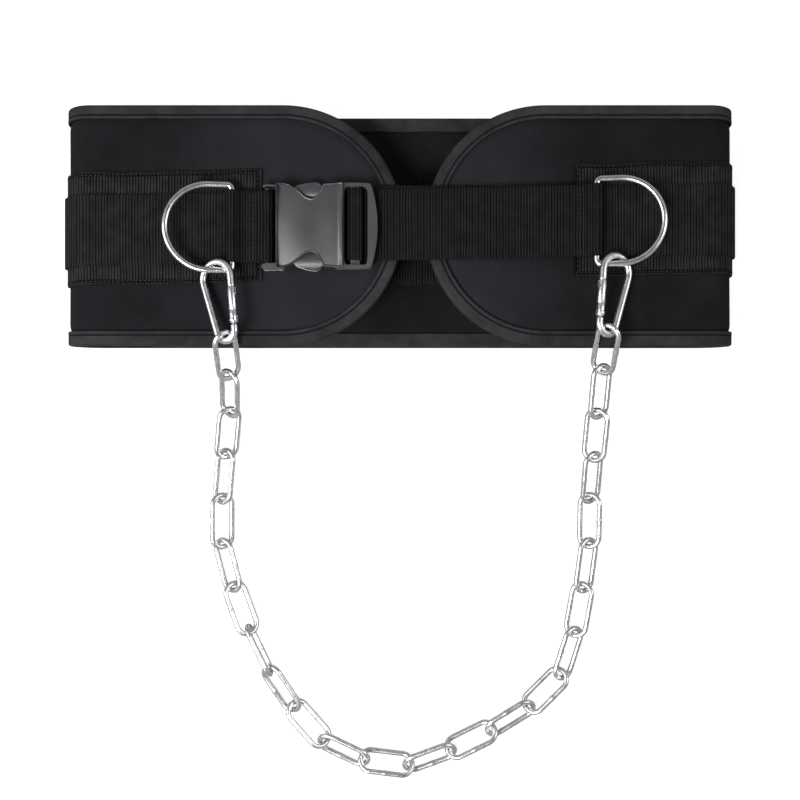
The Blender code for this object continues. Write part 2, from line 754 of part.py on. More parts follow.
def hook_seat(place, side):
    """Point where the chain's end link meets a hook's small end."""
    small_centre = hook_geometry()[3]
    tip = place @ Vector((hook_wire / 2, small_centre[1], 0))
    return tip + Vector((side * seat_out, seat_along, seat_up))


def smooth_route(points, steps=16):
    """Dense points of a smooth curve through the chosen ones (a Catmull-Rom spline)."""
    control = np.array([2 * np.array(points[0]) - np.array(points[1]), *points,
                        2 * np.array(points[-1]) - np.array(points[-2])])
    dense = []
    for a, b, c, d in zip(control, control[1:], control[2:], control[3:]):
        for t in np.arange(steps) / steps:
            dense.append(0.5 * (2 * b + (c - a) * t + (2 * a - 5 * b + 4 * c - d) * t ** 2
                                + (3 * b - a - 3 * c + d) * t ** 3))
    dense.append(control[-2])
    return np.array(dense)


def link_rest_height():
    return (link_width - link_wire) / 2 * math.sin(math.radians(link_roll)) + link_wire / 2


def joint_heights(start, end):
    """Heights of the joints between links: down from each hook, flat on the floor, up to a link on edge."""
    heights = [link_rest_height()] * (link_count + 1)
    down = [start, *left_joint_heights]
    up = [*reversed(right_joint_heights), end]
    heights[:len(down)] = down
    heights[-len(up):] = up
    heights[upright_link - 1] = heights[upright_link] = link_width / 2
    return heights


def walk_route(route, heights, chord):
    """Joints a chord apart along the route, and how much of the route's last stretch is left over."""
    joints = [Vector((*route[0], heights[0]))]
    position = 0
    for below, above in zip(heights, heights[1:]):
        step = math.sqrt(chord ** 2 - (above - below) ** 2)
        here = joints[-1].xy
        while position < len(route) - 1 and (Vector(route[position + 1]) - here).length < step:
            position += 1
        if position >= len(route) - 1:
            direction = (Vector(route[-1]) - Vector(route[-2])).normalized()
            joints.append(Vector((*(here + direction * step), above)))
            continue
        a, b = Vector(route[position]), Vector(route[position + 1])
        low, high = 0.0, 1.0
        for _ in range(30):
            share = (low + high) / 2
            if (a.lerp(b, share) - here).length < step:
                low = share
            else:
                high = share
        joints.append(Vector((*a.lerp(b, low), above)))
    direction = (Vector(route[-1]) - Vector(route[-2])).normalized()
    left_over = (Vector(route[-1]) - joints[-1].xy).dot(direction)
    return joints, left_over


def chain_joints(start, end):
    """Joints of the whole chain: the chord between them is what makes the last one meet the right hook."""
    route = smooth_route([tuple(start.xy), *chain_route, tuple(end.xy)])
    heights = joint_heights(start.z, end.z)
    low, high = 0.8 * link_inner_length, 1.2 * link_inner_length
    for _ in range(40):
        chord = (low + high) / 2
        if walk_route(route, heights, chord)[1] > 0:
            low = chord
        else:
            high = chord
    joints = walk_route(route, heights, chord)[0]
    joints[-1] = end.copy()
    return joints


def link_path():
    """Centre line of a link: two straight sides and two half circles, longest along x."""
    radius = (link_width - link_wire) / 2
    middle = (link_inner_length + link_wire) / 2 - radius
    return arc((middle, 0), radius, 90, -90, 6) + arc((-middle, 0), radius, 270, 90, 6)


def build_chain(start, end, finish):
    joints = chain_joints(start, end)
    mesh = wire_mesh("link", link_path(), link_wire / 2, 6, closed=True)
    links = []
    for i, (near, far) in enumerate(zip(joints, joints[1:])):
        number = i + 1
        usual = link_roll if (number % 2 == 0) == (number < upright_link) else -link_roll
        roll = math.radians(turned_links.get(number, usual))
        along = (far - near).normalized()
        level = Vector((0, 0, 1)).cross(along).normalized()
        upright = along.cross(level)
        across = level * math.cos(roll) + upright * math.sin(roll)
        link = solid(f"link_{number:02d}", mesh, finish)
        place = Matrix((along, across, along.cross(across))).transposed().to_4x4()
        place.translation = (near + far) / 2
        link.matrix_world = place
        links.append(link)
    return links


def stand_on_origin():
    """Move the whole model so that the bottom centre of its box is the origin."""
    bpy.context.view_layer.update()
    corners = []
    for item in bpy.context.scene.objects:
        vertices = np.empty(len(item.data.vertices) * 3)
        item.data.vertices.foreach_get("co", vertices)
        turn = np.array(item.matrix_world)
        corners.append(vertices.reshape(-1, 3) @ turn[:3, :3].T + turn[:3, 3])
    points = np.concatenate(corners)
    low, high = points.min(axis=0), points.max(axis=0)
    shift = Matrix.Translation((-(low[0] + high[0]) / 2, -(low[1] + high[1]) / 2, -low[2]))
    for item in bpy.context.scene.objects:
        item.matrix_world = shift @ item.matrix_world
    bpy.context.view_layer.update()


def main():
    clear_scene()
    neoprene = material("belt_fabric", (0.013, 0.013, 0.018), 0.85)
    binding = material("binding_tape", (0.02, 0.02, 0.022), 0.8)
    webbing = material("black_webbing", (0.011, 0.011, 0.010), 0.7)
    plastic = material("grey_plastic", (0.07, 0.068, 0.075), 0.4)
    nickel = material("nickel_steel", (0.72, 0.70, 0.66), 0.22, 1.0)
    zinc = material("zinc_steel", (0.74, 0.75, 0.77), 0.28, 1.0)

    build_belt_body(neoprene)
    build_edge_binding(binding)
    build_inner_band(webbing)
    band_round_loop("wide_webbing", webbing_right_end, webbing_left_end, webbing_width,
                    webbing_under, webbing_over, webbing_middle, webbing)
    band_round_loop("load_strap", webbing_right_end + load_strap_overlap, webbing_left_end - load_strap_overlap,
                    strap_width, strap_under, strap_over, strap_middle, webbing)
    socket_bar_x = mouth_x - housing_length - socket_bar_gap
    build_loop_strap(ring_left_x, socket_bar_x, webbing)
    build_adjusting_strap(ring_right_x, mouth_x + centre_bar_from_mouth, webbing)
    ring_mesh = wire_mesh("ring", ring_path(), ring_wire / 2, 8, closed=True)
    build_ring("ring_left", ring_mesh, ring_left_x, -1, nickel)
    build_ring("ring_right", ring_mesh, ring_right_x, 1, nickel)
    build_socket(plastic)
    build_plug(plastic)
    seats = []
    for side_name, bar_x, side, setting in (("left", ring_left_x, -1, hook_left),
                                            ("right", ring_right_x, 1, hook_right)):
        place = hook_frame(bar_x, side, *setting)
        build_hook(side_name, place, zinc)
        build_gate(side_name, place, zinc)
        build_pin(side_name, place, zinc)
        seats.append(hook_seat(place, side))
    build_chain(seats[0], seats[1], zinc)
    stand_on_origin()


main()
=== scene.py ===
# Dip belt lying closed on a pale surface, seen straight from above. Metres, +Z up.
import math

import bmesh
import bpy
import numpy as np
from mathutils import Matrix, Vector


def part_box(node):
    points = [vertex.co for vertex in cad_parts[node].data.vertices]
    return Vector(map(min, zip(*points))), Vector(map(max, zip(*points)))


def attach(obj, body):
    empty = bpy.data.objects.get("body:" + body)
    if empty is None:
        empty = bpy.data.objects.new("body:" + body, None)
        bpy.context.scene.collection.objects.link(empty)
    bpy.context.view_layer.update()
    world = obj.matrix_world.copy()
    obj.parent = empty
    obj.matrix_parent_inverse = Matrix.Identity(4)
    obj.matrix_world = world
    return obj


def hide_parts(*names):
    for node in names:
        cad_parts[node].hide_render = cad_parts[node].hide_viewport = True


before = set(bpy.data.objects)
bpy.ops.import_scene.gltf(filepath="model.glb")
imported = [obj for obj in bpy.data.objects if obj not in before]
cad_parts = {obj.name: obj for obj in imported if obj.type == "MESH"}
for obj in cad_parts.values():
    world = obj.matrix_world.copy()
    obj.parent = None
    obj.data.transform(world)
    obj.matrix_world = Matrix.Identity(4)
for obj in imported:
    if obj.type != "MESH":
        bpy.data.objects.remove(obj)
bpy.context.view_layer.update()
beltLow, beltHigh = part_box("belt_body")
beltMiddle = (beltLow.y + beltHigh.y) / 2  # y of the belt's middle line
print("stage: frame loaded, belt's middle line at y", round(beltMiddle, 4))


class Value:
    # A socket that takes + - * / and so on: each adds its Math node.
    def __init__(self, tree, socket):
        self.tree, self.socket = tree, socket

    def calc(self, operation, *terms):
        node = self.tree.nodes.new("ShaderNodeMath")
        node.operation = operation
        for place, term in zip(node.inputs, terms):
            feed(self.tree, place, term)
        return Value(self.tree, node.outputs[0])

    def __add__(self, other):
        return self.calc("ADD", self, other)

    def __radd__(self, other):
        return self.calc("ADD", other, self)

    def __sub__(self, other):
        return self.calc("SUBTRACT", self, other)

    def __rsub__(self, other):
        return self.calc("SUBTRACT", other, self)

    def __mul__(self, other):
        return self.calc("MULTIPLY", self, other)

    def __rmul__(self, other):
        return self.calc("MULTIPLY", other, self)

    def __truediv__(self, other):
        return self.calc("DIVIDE", self, other)

    def __pow__(self, other):
        return self.calc("POWER", self, other)

    def sin(self):
        return self.calc("SINE", self)

    def size(self):
        return self.calc("ABSOLUTE", self)

    def floor(self):
        return self.calc("FLOOR", self)

    def most(self, other):
        return self.calc("MAXIMUM", self, other)

    def within(self, low, high):
        # 0 below low, 1 above high, smooth between
        node = self.tree.nodes.new("ShaderNodeMapRange")
        node.interpolation_type = "SMOOTHSTEP"
        for name, term in (("Value", self), ("From Min", low), ("From Max", high)):
            feed(self.tree, node.inputs[name], term)
        return Value(self.tree, node.outputs[0])


# Link a value to a socket, or set the socket to a number or a colour.
def feed(tree, place, term):
    if isinstance(term, Value):
        tree.links.new(term.socket, place)
    else:
        place.default_value = term


class Graph:
    # Nodes of one tree: a material's, or the world's.
    def __init__(self, tree):
        self.tree = tree

    # Any node: its type, its settings, which are set first, and its inputs.
    def node(self, kind, settings=None, inputs=None, output=0):
        made = self.tree.nodes.new("ShaderNode" + kind)
        for name, value in (settings or {}).items():
            setattr(made, name, value)
        for name, value in (inputs or {}).items():
            feed(self.tree, made.inputs[name], value)
        return Value(self.tree, made.outputs[output])

    def parts(self, vector):
        split = self.node("SeparateXYZ", inputs={"Vector": vector})
        return [Value(self.tree, socket) for socket in split.socket.node.outputs]

    def place(self):
        return self.node("TexCoord", output="Object")

    def cloth(self):
        # u along the piece and v across it, in metres
        return self.node("UVMap", {"uv_map": "clothUv"})

    def noise(self, vector, scale, detail=3.0, roughness=0.5):
        return self.node("TexNoise", inputs={"Vector": vector, "Scale": scale, "Detail": detail,
                                             "Roughness": roughness})

    def blend(self, factor, first, second):
        return self.node("Mix", {"data_type": "RGBA"}, {"Factor": factor, 6: first, 7: second}, output=2)


class Finish(Graph):
    # One material. Constants go straight on the shader's sockets.
    def __init__(self, name, **constants):
        self.material = bpy.data.materials.new(name)
        self.material.use_nodes = True
        super().__init__(self.material.node_tree)
        self.shader = self.tree.nodes["Principled BSDF"]
        for socket, value in constants.items():
            self.shader.inputs[socket.replace("_", " ")].default_value = value

    def paint(self, tone, dark, pale):
        self.set("Base Color", self.blend(tone, dark, pale))

    def bump(self, height, distance):
        normal = self.node("Bump", inputs={"Height": height, "Distance": distance, "Strength": 1.0})
        self.set("Normal", normal)

    def set(self, socket, value):
        feed(self.tree, self.shader.inputs[socket], value)


# Grey of a level, tinted by shares of blue and red.
def grey(level, blue=0.0, red=0.0):
    return (level * (1 + red), level, level * (1 + blue), 1.0)


# Cells of a grid: its point numbers, the four corners of each cell, and each cell's row and column.
def gridCells(rows, columns, closeRows, closeColumns):
    index = np.arange(rows * columns).reshape(rows, columns)
    spans = np.arange(rows - (not closeRows)), np.arange(columns - (not closeColumns))
    r, c = np.meshgrid(*spans, indexing="ij")
    r2, c2 = (r + 1) % rows, (c + 1) % columns
    quads = np.stack([index[r, c], index[r2, c], index[r2, c2], index[r, c2]], -1).reshape(-1, 4)
    return index, quads, r, c


# Surface from a grid of points (rows, columns, 3): each cell is one quad, rows or columns can close round,
# and a face can cap the first and the last row.
def gridMesh(points, closeRows=False, closeColumns=False, capEnds=False, uv=None):
    index, quads, r, c = gridCells(*points.shape[:2], closeRows, closeColumns)
    faces = quads.tolist()
    if capEnds:
        faces += [index[0].tolist(), index[-1][::-1].tolist()]
    mesh = bpy.data.meshes.new("surface")
    mesh.from_pydata(points.reshape(-1, 3), [], faces)
    if uv is not None:
        corners = np.stack([uv[r, c], uv[r + 1, c], uv[r + 1, c + 1], uv[r, c + 1]], -2).reshape(-1, 2)
        flat = np.zeros((len(mesh.loops), 2), np.float32)
        flat[:len(corners)] = corners
        mesh.uv_layers.new(name="clothUv").data.foreach_set("uv", flat.ravel())
    return mesh


# Object of one or more meshes: doubles merged, faces outwards, smooth up to the given angle.
def piece(name, meshes, finish, sharp=40, merge=1e-6):
    meshes = meshes if isinstance(meshes, list) else [meshes]
    made = bmesh.new()
    for mesh in meshes:
        made.from_mesh(mesh)
    bmesh.ops.remove_doubles(made, verts=made.verts, dist=merge)
    bmesh.ops.dissolve_degenerate(made, edges=made.edges, dist=merge)
    bmesh.ops.recalc_face_normals(made, faces=made.faces)
    whole = bpy.data.meshes.new(name)
    made.to_mesh(whole)
    made.free()
    whole.materials.append(finish)
    whole.shade_smooth()
    whole.set_sharp_from_angle(angle=math.radians(sharp))
    item = bpy.data.objects.new(name, whole)
    bpy.context.scene.collection.objects.link(item)
    return item


# Cut other meshes out of a piece with exact Booleans, and keep the result.
def carve(item, meshes):
    for mesh in meshes:
        tool = bpy.data.objects.new("tool", mesh)
        bpy.context.scene.collection.objects.link(tool)
        change = item.modifiers.new("change", "BOOLEAN")
        change.operation, change.solver, change.object = "DIFFERENCE", "EXACT", tool
        result = bpy.data.meshes.new_from_object(item.evaluated_get(bpy.context.evaluated_depsgraph_get()))
        item.modifiers.clear()
        item.data = result
        bpy.data.objects.remove(tool, do_unlink=True)


# Way along a line from its first point to each point.
def wayAlong(line):
    return np.concatenate([[0], np.cumsum(np.linalg.norm(np.diff(line, axis=0), axis=1))])


# Direction to the left of a flat line at each point, square to the step between its two neighbours.
def leftOf(path, closed=True):
    ahead = np.roll(path, -1, 0) - np.roll(path, 1, 0)
    if not closed:
        ahead[0], ahead[-1] = path[1] - path[0], path[-1] - path[-2]
    ahead /= np.linalg.norm(ahead, axis=1)[:, None]
    return np.stack([-ahead[:, 1], ahead[:, 0]], -1)


# Map of a grid: the way along it and the place across it, in metres.
def clothMap(way, across):
    return np.stack(np.broadcast_arrays(way[:, None], across[None, :]), -1)


# Smooth curve through points (a Catmull-Rom spline), with the given number of steps between two points.
def smoothPath(points, steps):
    p = np.asarray(points, float)
    p = np.vstack([2 * p[0] - p[1], p, 2 * p[-1] - p[-2]])
    t = (np.arange(steps) / steps)[None, :, None]
    a, b, c, d = (p[i:len(p) - 3 + i, None, :] for i in range(4))
    square, cube = 2 * a - 5 * b + 4 * c - d, 3 * b - a - 3 * c + d
    curve = 0.5 * (2 * b + (c - a) * t + square * t ** 2 + cube * t ** 3)
    return np.vstack([curve.reshape(-1, p.shape[1]), p[-2]])


# Arc round a centre, angles in degrees.
def arcPoints(centre, radius, start, end, steps):
    angle = np.radians(np.linspace(start, end, steps + 1))
    return np.stack([centre[0] + radius * np.cos(angle), centre[1] + radius * np.sin(angle)], -1)


# Even steps along a line of points, closed or open, and the line's length. The way is measured on the first
# three numbers of each point.
def evenSteps(points, count, closed):
    line = np.vstack([points, points[:1]]) if closed else np.asarray(points)
    length = wayAlong(line[:, :3])
    at = np.linspace(0, length[-1], count + 1)[:-1] if closed else np.linspace(0, length[-1], count)
    return np.stack([np.interp(at, length, line[:, k]) for k in range(line.shape[1])], -1), length[-1]


# Wire: a circle carried along a flat path in the plane of along and across. Its radius can change on the way,
# and flat gives another half thickness square to the plane.
def wireMesh(path, origin, along, across, radius, sides, closed, flat=None):
    origin, along, across = (np.asarray(v, float) for v in (origin, along, across))
    normal = np.cross(along, across)
    side = leftOf(path, closed)
    angle = np.linspace(0, 2 * np.pi, sides, endpoint=False)
    radius = np.broadcast_to(radius, len(path))[:, None]
    lift = radius if flat is None else flat[:, None]
    inPlane = path[:, None, :] + side[:, None, :] * (radius * np.cos(angle))[..., None]
    height = lift * np.sin(angle)
    points = origin + inPlane[..., :1] * along + inPlane[..., 1:] * across + height[..., None] * normal
    return gridMesh(points, closeRows=closed, closeColumns=True, capEnds=not closed)


# The loop: flat belt coordinates (s along, y across, out from the outer face) bent round two folds.
belt = dict(
    height=0.160, wall=0.008, depth=0.0364, foldSpan=0.414, rightTip=0.017, leftTip=0.002,
    backFace=0.0036, bindingCover=0.0095, bindingThick=0.001, bindingGap=0.0003,
    puff=0.0003, level=0.35, backShare=0.3, dent=0.0008, dentWidth=0.0024, edgeRound=0.002,
    waves=((61, 23, 0.0), (37, -71, 1.3), (113, 51, 0.4)),  # turns along, turns across, phase
)
halfHeight = belt["height"] / 2
foldRadius = belt["depth"] / 2
frontFace = belt["backFace"] + belt["depth"]
halfSpan = belt["foldSpan"] / 2
rightWing = halfSpan - belt["rightTip"]
foldLength = math.pi * foldRadius
beltLength = rightWing + foldLength * 2 + belt["foldSpan"] + belt["leftTip"] + halfSpan


# Bending: straight over the right wing, round the right fold, straight under the back, round the left fold
# and straight over the left wing. Each fold is a half circle of the fold's radius.
def onLoop(s, y, out):
    s, y, out = np.broadcast_arrays(s, y, out)
    a1, a2 = rightWing, rightWing + foldLength  # right fold
    a3, a4 = a2 + belt["foldSpan"], a2 + belt["foldSpan"] + foldLength  # left fold
    turnRight, turnLeft = (s - a1) / foldRadius, (s - a3) / foldRadius
    reach, middle = foldRadius + out, belt["backFace"] + foldRadius
    x = np.select([s < a1, s < a2, s < a3, s < a4],
                  [belt["rightTip"] + s, halfSpan + reach * np.sin(turnRight), halfSpan - (s - a2),
                   -halfSpan - reach * np.sin(turnLeft)], -halfSpan + (s - a4))
    z = np.select([s < a1, s < a2, s < a3, s < a4],
                  [frontFace + out, middle + reach * np.cos(turnRight), belt["backFace"] - out,
                   middle - reach * np.cos(turnLeft)], frontFace + out)
    return np.stack([x, y + beltMiddle, z], -1)


# x of the belt's outer face at s.
def loopX(s):
    return onLoop(s, 0.0, 0.0)[..., 0]


# Place along the loop of a point x on the right wing (1) or the left wing (-1).
def loopLength(x, wing):
    return x - belt["rightTip"] if wing > 0 else beltLength - (belt["leftTip"] - x)


# How far a flat point lies inside the outline, which is straight with half-round ends.
def insideOutline(s, y):
    end = np.minimum(s, beltLength - s)
    return np.where(end < halfHeight, halfHeight - np.hypot(halfHeight - end, y), halfHeight - np.abs(y))


# Padded belt: rows along s with the outline's half height, closer together at the ends. The outer face
# puffs a little between the seams and is drawn in along the bound edge.
def makeBeltPad(finish):
    inset = belt["bindingThick"] + belt["bindingGap"]
    turn = np.radians(np.linspace(0, 90, 28))
    tipS = halfHeight - (halfHeight - inset) * np.cos(turn)
    tipHalf = (halfHeight - inset) * np.sin(turn)
    straight = np.linspace(halfHeight, beltLength - halfHeight, 300)[1:-1]
    s = np.concatenate([tipS, straight, (beltLength - tipS)[::-1]])
    half = np.concatenate([tipHalf, np.full(len(straight), halfHeight - inset), tipHalf[::-1]])
    even = np.linspace(-1, 1, 64)
    t = np.sin(even * np.pi / 2) * 0.35 + even * 0.65  # closer together at the edges
    across = np.concatenate([t, t[::-1]])
    ss, y = s[:, None] * np.ones(len(across)), half[:, None] * across[None, :]
    inside = insideOutline(ss, y)
    wave = sum(np.sin(ss * a + y * b + c) for a, b, c in belt["waves"]) / len(belt["waves"])
    dent = belt["dent"] * np.exp(-((inside - belt["bindingCover"]) / belt["dentWidth"]) ** 2)
    relief = belt["puff"] * (belt["level"] + (1 - belt["level"]) * wave) - dent
    top = (np.arange(len(across)) < len(t))[None, :]
    edge = np.clip(inside - inset, 0, belt["edgeRound"]) / belt["edgeRound"]
    out = np.where(top, relief * edge, -belt["wall"] - belt["backShare"] * relief * edge)
    rim = np.sqrt(np.clip(1 - (1 - edge) ** 2, 0, 1))
    out = out * rim + (-belt["wall"] / 2) * (1 - rim)
    points = onLoop(ss, y, out)
    closing = np.concatenate([across, across[:1]])
    uv = np.stack([np.broadcast_to(s[:, None], (len(s), len(closing))), half[:, None] * closing], -1)
    return piece("beltPad", gridMesh(points, closeColumns=True, uv=uv), finish, sharp=60)


# The outline at an inset: straight lower edge, half circle, straight upper edge, half circle.
def outline(inset, count):
    radius = halfHeight - inset
    left = arcPoints((beltLength - halfHeight, 0), radius, -90, 90, 60)
    right = arcPoints((halfHeight, 0), radius, 90, 270, 60)
    return evenSteps(np.vstack([left, right]), count, True)


binding = dict(
    corner=0.0016, cornerEnd=0.0022, lip=0.0002, inner=0.001, skin=0.0009, pucker=0.00010, ripple=0.00012,
    steps=1400,
)


# Bound edge: a U section with rounded corners carried round the outline. The section is given as
# (distance in from the edge, height over the outer face), and it puckers slightly at every stitch.
def makeBinding(finish):
    cover, wall, gap, corner = belt["bindingCover"], belt["wall"], belt["bindingGap"], binding["corner"]
    thick, lip, count = belt["bindingThick"] + gap, cover + binding["lip"], binding["steps"]
    bend = np.radians(np.linspace(90, 180, 6))
    upper = np.stack([corner + corner * np.cos(bend), thick - corner + corner * np.sin(bend)], -1)
    lower = upper[::-1] * [1, -1] + [0, -wall]
    run = np.linspace(cover, binding["cornerEnd"], 6)[:, None]
    inner = binding["inner"]
    section = np.vstack([
        [[lip, 2 * gap]], np.hstack([run, np.full_like(run, thick)]), upper, lower,
        np.hstack([run[::-1], np.full_like(run, -wall - thick)]), [[lip, -wall - 2 * gap]],
        [[cover, -wall - gap], [inner, -wall - gap], [inner, gap], [cover, gap]]])
    centre, perimeter = outline(0.0, count)
    inward = leftOf(centre)
    way = np.arange(count) / count * perimeter
    pucker = (binding["pucker"] * np.sin(way * 2 * np.pi / stitching["pitch"])
              + binding["ripple"] * np.sin(way * 41) * np.sin(way * 173))
    flat = centre[:, None, :] + inward[:, None, :] * section[None, :, :1]
    level = section[:, 1] + wall / 2
    bulge = np.where(np.abs(level) > wall / 2 + binding["skin"], np.sign(level), 0)  # on the outer skin only
    points = onLoop(flat[..., 0], flat[..., 1], section[None, :, 1] + bulge * pucker[:, None])
    lengths = wayAlong(section)
    uv = clothMap(np.append(way, perimeter), np.append(lengths, lengths[-1] + 0.001))
    return piece("boundEdge", gridMesh(points, closeRows=True, closeColumns=True, uv=uv), finish, sharp=50)


stitching = dict(pitch=0.0030, length=0.0022, width=0.00055, height=0.00028, fromEdge=0.0014, webInset=0.0022,
                 strapInset=0.002)


# Stitches: short round-ended threads, one after another along a line of points. Each is a flattened tube round
# its middle, its girth a half circle of the way along it.
def stitchMesh(points, normals):
    line = np.hstack([points, normals])
    total = evenSteps(line, 2, False)[1]
    count = max(int(total / stitching["pitch"]), 1)
    line, _ = evenSteps(line, count * 4 + 1, False)
    spot, up = line[2::4, :3], line[2::4, 3:]
    ahead = line[3::4, :3] - line[1::4, :3]
    ahead /= np.linalg.norm(ahead, axis=1)[:, None]
    side = np.cross(up, ahead)
    t, angle = np.meshgrid(np.linspace(-1, 1, 5), np.linspace(0, 2 * np.pi, 6, endpoint=False), indexing="ij")
    girth = np.sqrt(np.clip(1 - t ** 2, 0.04, 1))
    body = (spot[:, None, None] + ahead[:, None, None] * (t * stitching["length"] / 2)[..., None]
            + side[:, None, None] * (np.cos(angle) * girth * stitching["width"] / 2)[..., None]
            + up[:, None, None] * ((np.sin(angle) * 0.6 + 0.25) * girth * stitching["height"])[..., None])
    index, quads, _, _ = gridCells(*t.shape, False, True)
    firsts = (np.arange(len(spot)) * t.size)[:, None, None]
    sides = (quads[None] + firsts).reshape(-1, 4)
    caps = (np.stack([index[0], index[-1][::-1]])[None] + firsts).reshape(-1, t.shape[1])
    mesh = bpy.data.meshes.new("stitches")
    mesh.from_pydata(body.reshape(-1, 3), [], sides.tolist() + caps.tolist())
    return mesh


# Line of flat points on the loop, with its outward normals, found by a small step outwards.
def onFace(s, y, out):
    points = onLoop(s, y, out)
    normals = (onLoop(s, y, np.asarray(out) + 0.001) - points) / 0.001
    return points, normals


webbing = dict(width=0.075, thick=0.0015, under=0.0003, rightEnd=0.116, leftEnd=-0.092, shift=0.0011,
               sewn=0.140)
strap = dict(width=0.0475, thick=0.0015, under=0.0021, shift=-0.0004, climb=0.0175,
             seams=((-0.0992, 0.0075), (-0.0967, 0.0075), (0.1185, 0.0071), (0.1210, 0.0071)))  # x, height


# Middle of the webbing across the belt: it climbs steadily with x.
def climbing(x, shift):
    return shift + strap["climb"] * x


# Section of flat webbing: a rectangle with half-round edges.
def webSection(width, thick, count=20):
    radius = thick / 2
    right = arcPoints((width / 2 - radius, 0), radius, -90, 90, 6)
    left = arcPoints((-width / 2 + radius, 0), radius, 90, 270, 6)
    run = np.linspace(width / 2 - radius, -width / 2 + radius, count)[1:-1]
    top = np.stack([run, np.full(count - 2, radius)], -1)
    return np.vstack([right, top, left, top[::-1] * [1, -1]])


# Band of webbing from its rows of points: its map holds the way along it and the place across it.
def bandPiece(name, points, way, section, finish):
    uv = clothMap(way, np.append(section[:, 0], section[0, 0]))
    return piece(name, gridMesh(points, closeColumns=True, capEnds=True, uv=uv), finish, sharp=60)


# Band round the loop: the section carried along s, its middle climbing with x.
def makeBand(name, settings, startS, endS, shift, finish, count=520):
    s = np.linspace(startS, endS, count)
    section = webSection(settings["width"], settings["thick"])
    middle = climbing(loopX(s), shift)
    wobble = 0.00025 * np.sin(s * 47) + 0.00018 * np.sin(s * 131 + 0.7)
    y = middle[:, None] + wobble[:, None] + section[None, :, 0]
    out = settings["under"] + settings["thick"] / 2 + section[None, :, 1]
    return bandPiece(name, onLoop(s[:, None], y, out), s, section, finish)


# Strap seen from the side: a smooth path of (x, height over the front face, shift across), thickness
# square to the path and the section's width across.
def makeSideStrap(name, path, finish, steps=6):
    line = smoothPath(np.asarray(path) / 1000, steps)
    ahead = np.gradient(line[:, :2], axis=0)
    ahead /= np.maximum(np.linalg.norm(ahead, axis=1), 1e-9)[:, None]
    normal = np.stack([-ahead[:, 1], ahead[:, 0]], -1)
    section = webSection(strap["width"], strap["thick"])
    middle = climbing(line[:, 0], strap["shift"]) + line[:, 2]
    x = line[:, None, 0] + normal[:, None, 0] * section[None, :, 1]
    z = frontFace + line[:, None, 1] + normal[:, None, 1] * section[None, :, 1]
    y = beltMiddle + middle[:, None] + section[None, :, 0]
    return bandPiece(name, np.stack([x, y, z], -1), wayAlong(line[:, :2]), section, finish)


# Millimetres: x, height over the front face, shift across
loopPath = [
    (-103.0, 4.65, 0), (-107, 4.62, 0), (-110.5, 4.65, 0), (-112.3, 5.2, 0), (-113.45, 6.5, 0),
    (-113.75, 7.9, 0), (-113.4, 9.4, 0), (-112.3, 10.65, 0), (-110.6, 11.15, 0), (-109.1, 10.85, 0),
    (-106.8, 9.1, 0), (-104.4, 7.35, 0), (-102.2, 6.5, 0), (-98, 6.45, 0), (-90, 6.45, 0), (-87.1, 6.45, 0),
    (-85.6, 5.98, 0), (-84.7, 4.85, 0), (-84.55, 3.7, 0), (-84.95, 2.5, 0), (-85.9, 1.6, 0),
    (-87.1, 1.35, 0), (-88.8, 1.5, 0), (-91.3, 3.05, 0), (-93.6, 4.5, 0), (-95.5, 4.65, 0),
    (-102.4, 4.65, 0),
]
adjustPath = [
    (123.2, 4.65, 0), (126.5, 4.65, 0), (129.5, 4.65, 0), (131.3, 5.2, 0), (132.45, 6.5, 0),
    (132.75, 7.9, 0), (132.4, 9.4, 0), (131.3, 10.65, 0), (129.6, 11.15, 0), (128.1, 10.85, 0),
    (125.9, 9.1, 0), (123.6, 7.3, 0), (121.6, 6.5, 0), (110, 6.25, 0), (60, 5.4, 0), (10, 4.55, 0),
    (-9, 4.2, 0), (-12.2, 4.0, 0), (-15.0, 3.0, 0), (-19, 2.95, 0), (-23.1, 2.95, 0), (-24.5, 3.6, 0),
    (-25.05, 5.0, 0), (-25.1, 5.9, 0), (-25.8, 7.3, 0), (-27.6, 8.05, 0), (-29.6, 8.05, 0.1),
    (-31.6, 8.05, 0.2), (-33.4, 7.3, 0.2), (-34.1, 5.9, 0.2), (-34.1, 4.9, 0.2), (-33.4, 3.7, 0.2),
    (-31.6, 2.95, 0.2), (-30.0, 2.9, 0.3), (-27.2, 1.3, 0.5), (-25, 1.15, 0.9), (-15.0, 1.2, 3.0),
    (-12.4, 2.2, 3.0), (-9, 2.42, 2.9), (20, 2.9, 1.9), (66, 3.69, 0.4),
]

ring = dict(wire=0.0044, height=0.0606, depth=0.0475, corner=0.003, tilt=math.radians(9), drop=0.0010,
            leftX=-0.1105, rightX=0.1295, barLevel=0.0079)


# D-ring: straight bar, straight legs and a half circle, tilted up from its bar.
def makeRing(name, barX, side, finish):
    radius = (ring["height"] - ring["wire"]) / 2
    legs = ring["depth"] - ring["wire"] - radius
    corner = ring["corner"]
    path = np.vstack([
        arcPoints((corner, radius - corner), corner, 180, 90, 8), arcPoints((legs, 0), radius, 90, -90, 60),
        arcPoints((corner, -radius + corner), corner, 270, 180, 8)])
    path, _ = evenSteps(path, 220, True)
    tilt = ring["tilt"]
    y = beltMiddle + climbing(barX, strap["shift"]) - ring["drop"]
    origin = (barX, y, frontFace + ring["barLevel"])
    along = (side * math.cos(tilt), 0, math.sin(tilt))
    mesh = wireMesh(path, origin, along, (0, side, 0), ring["wire"] / 2, 20, True)
    return piece(name, mesh, finish)


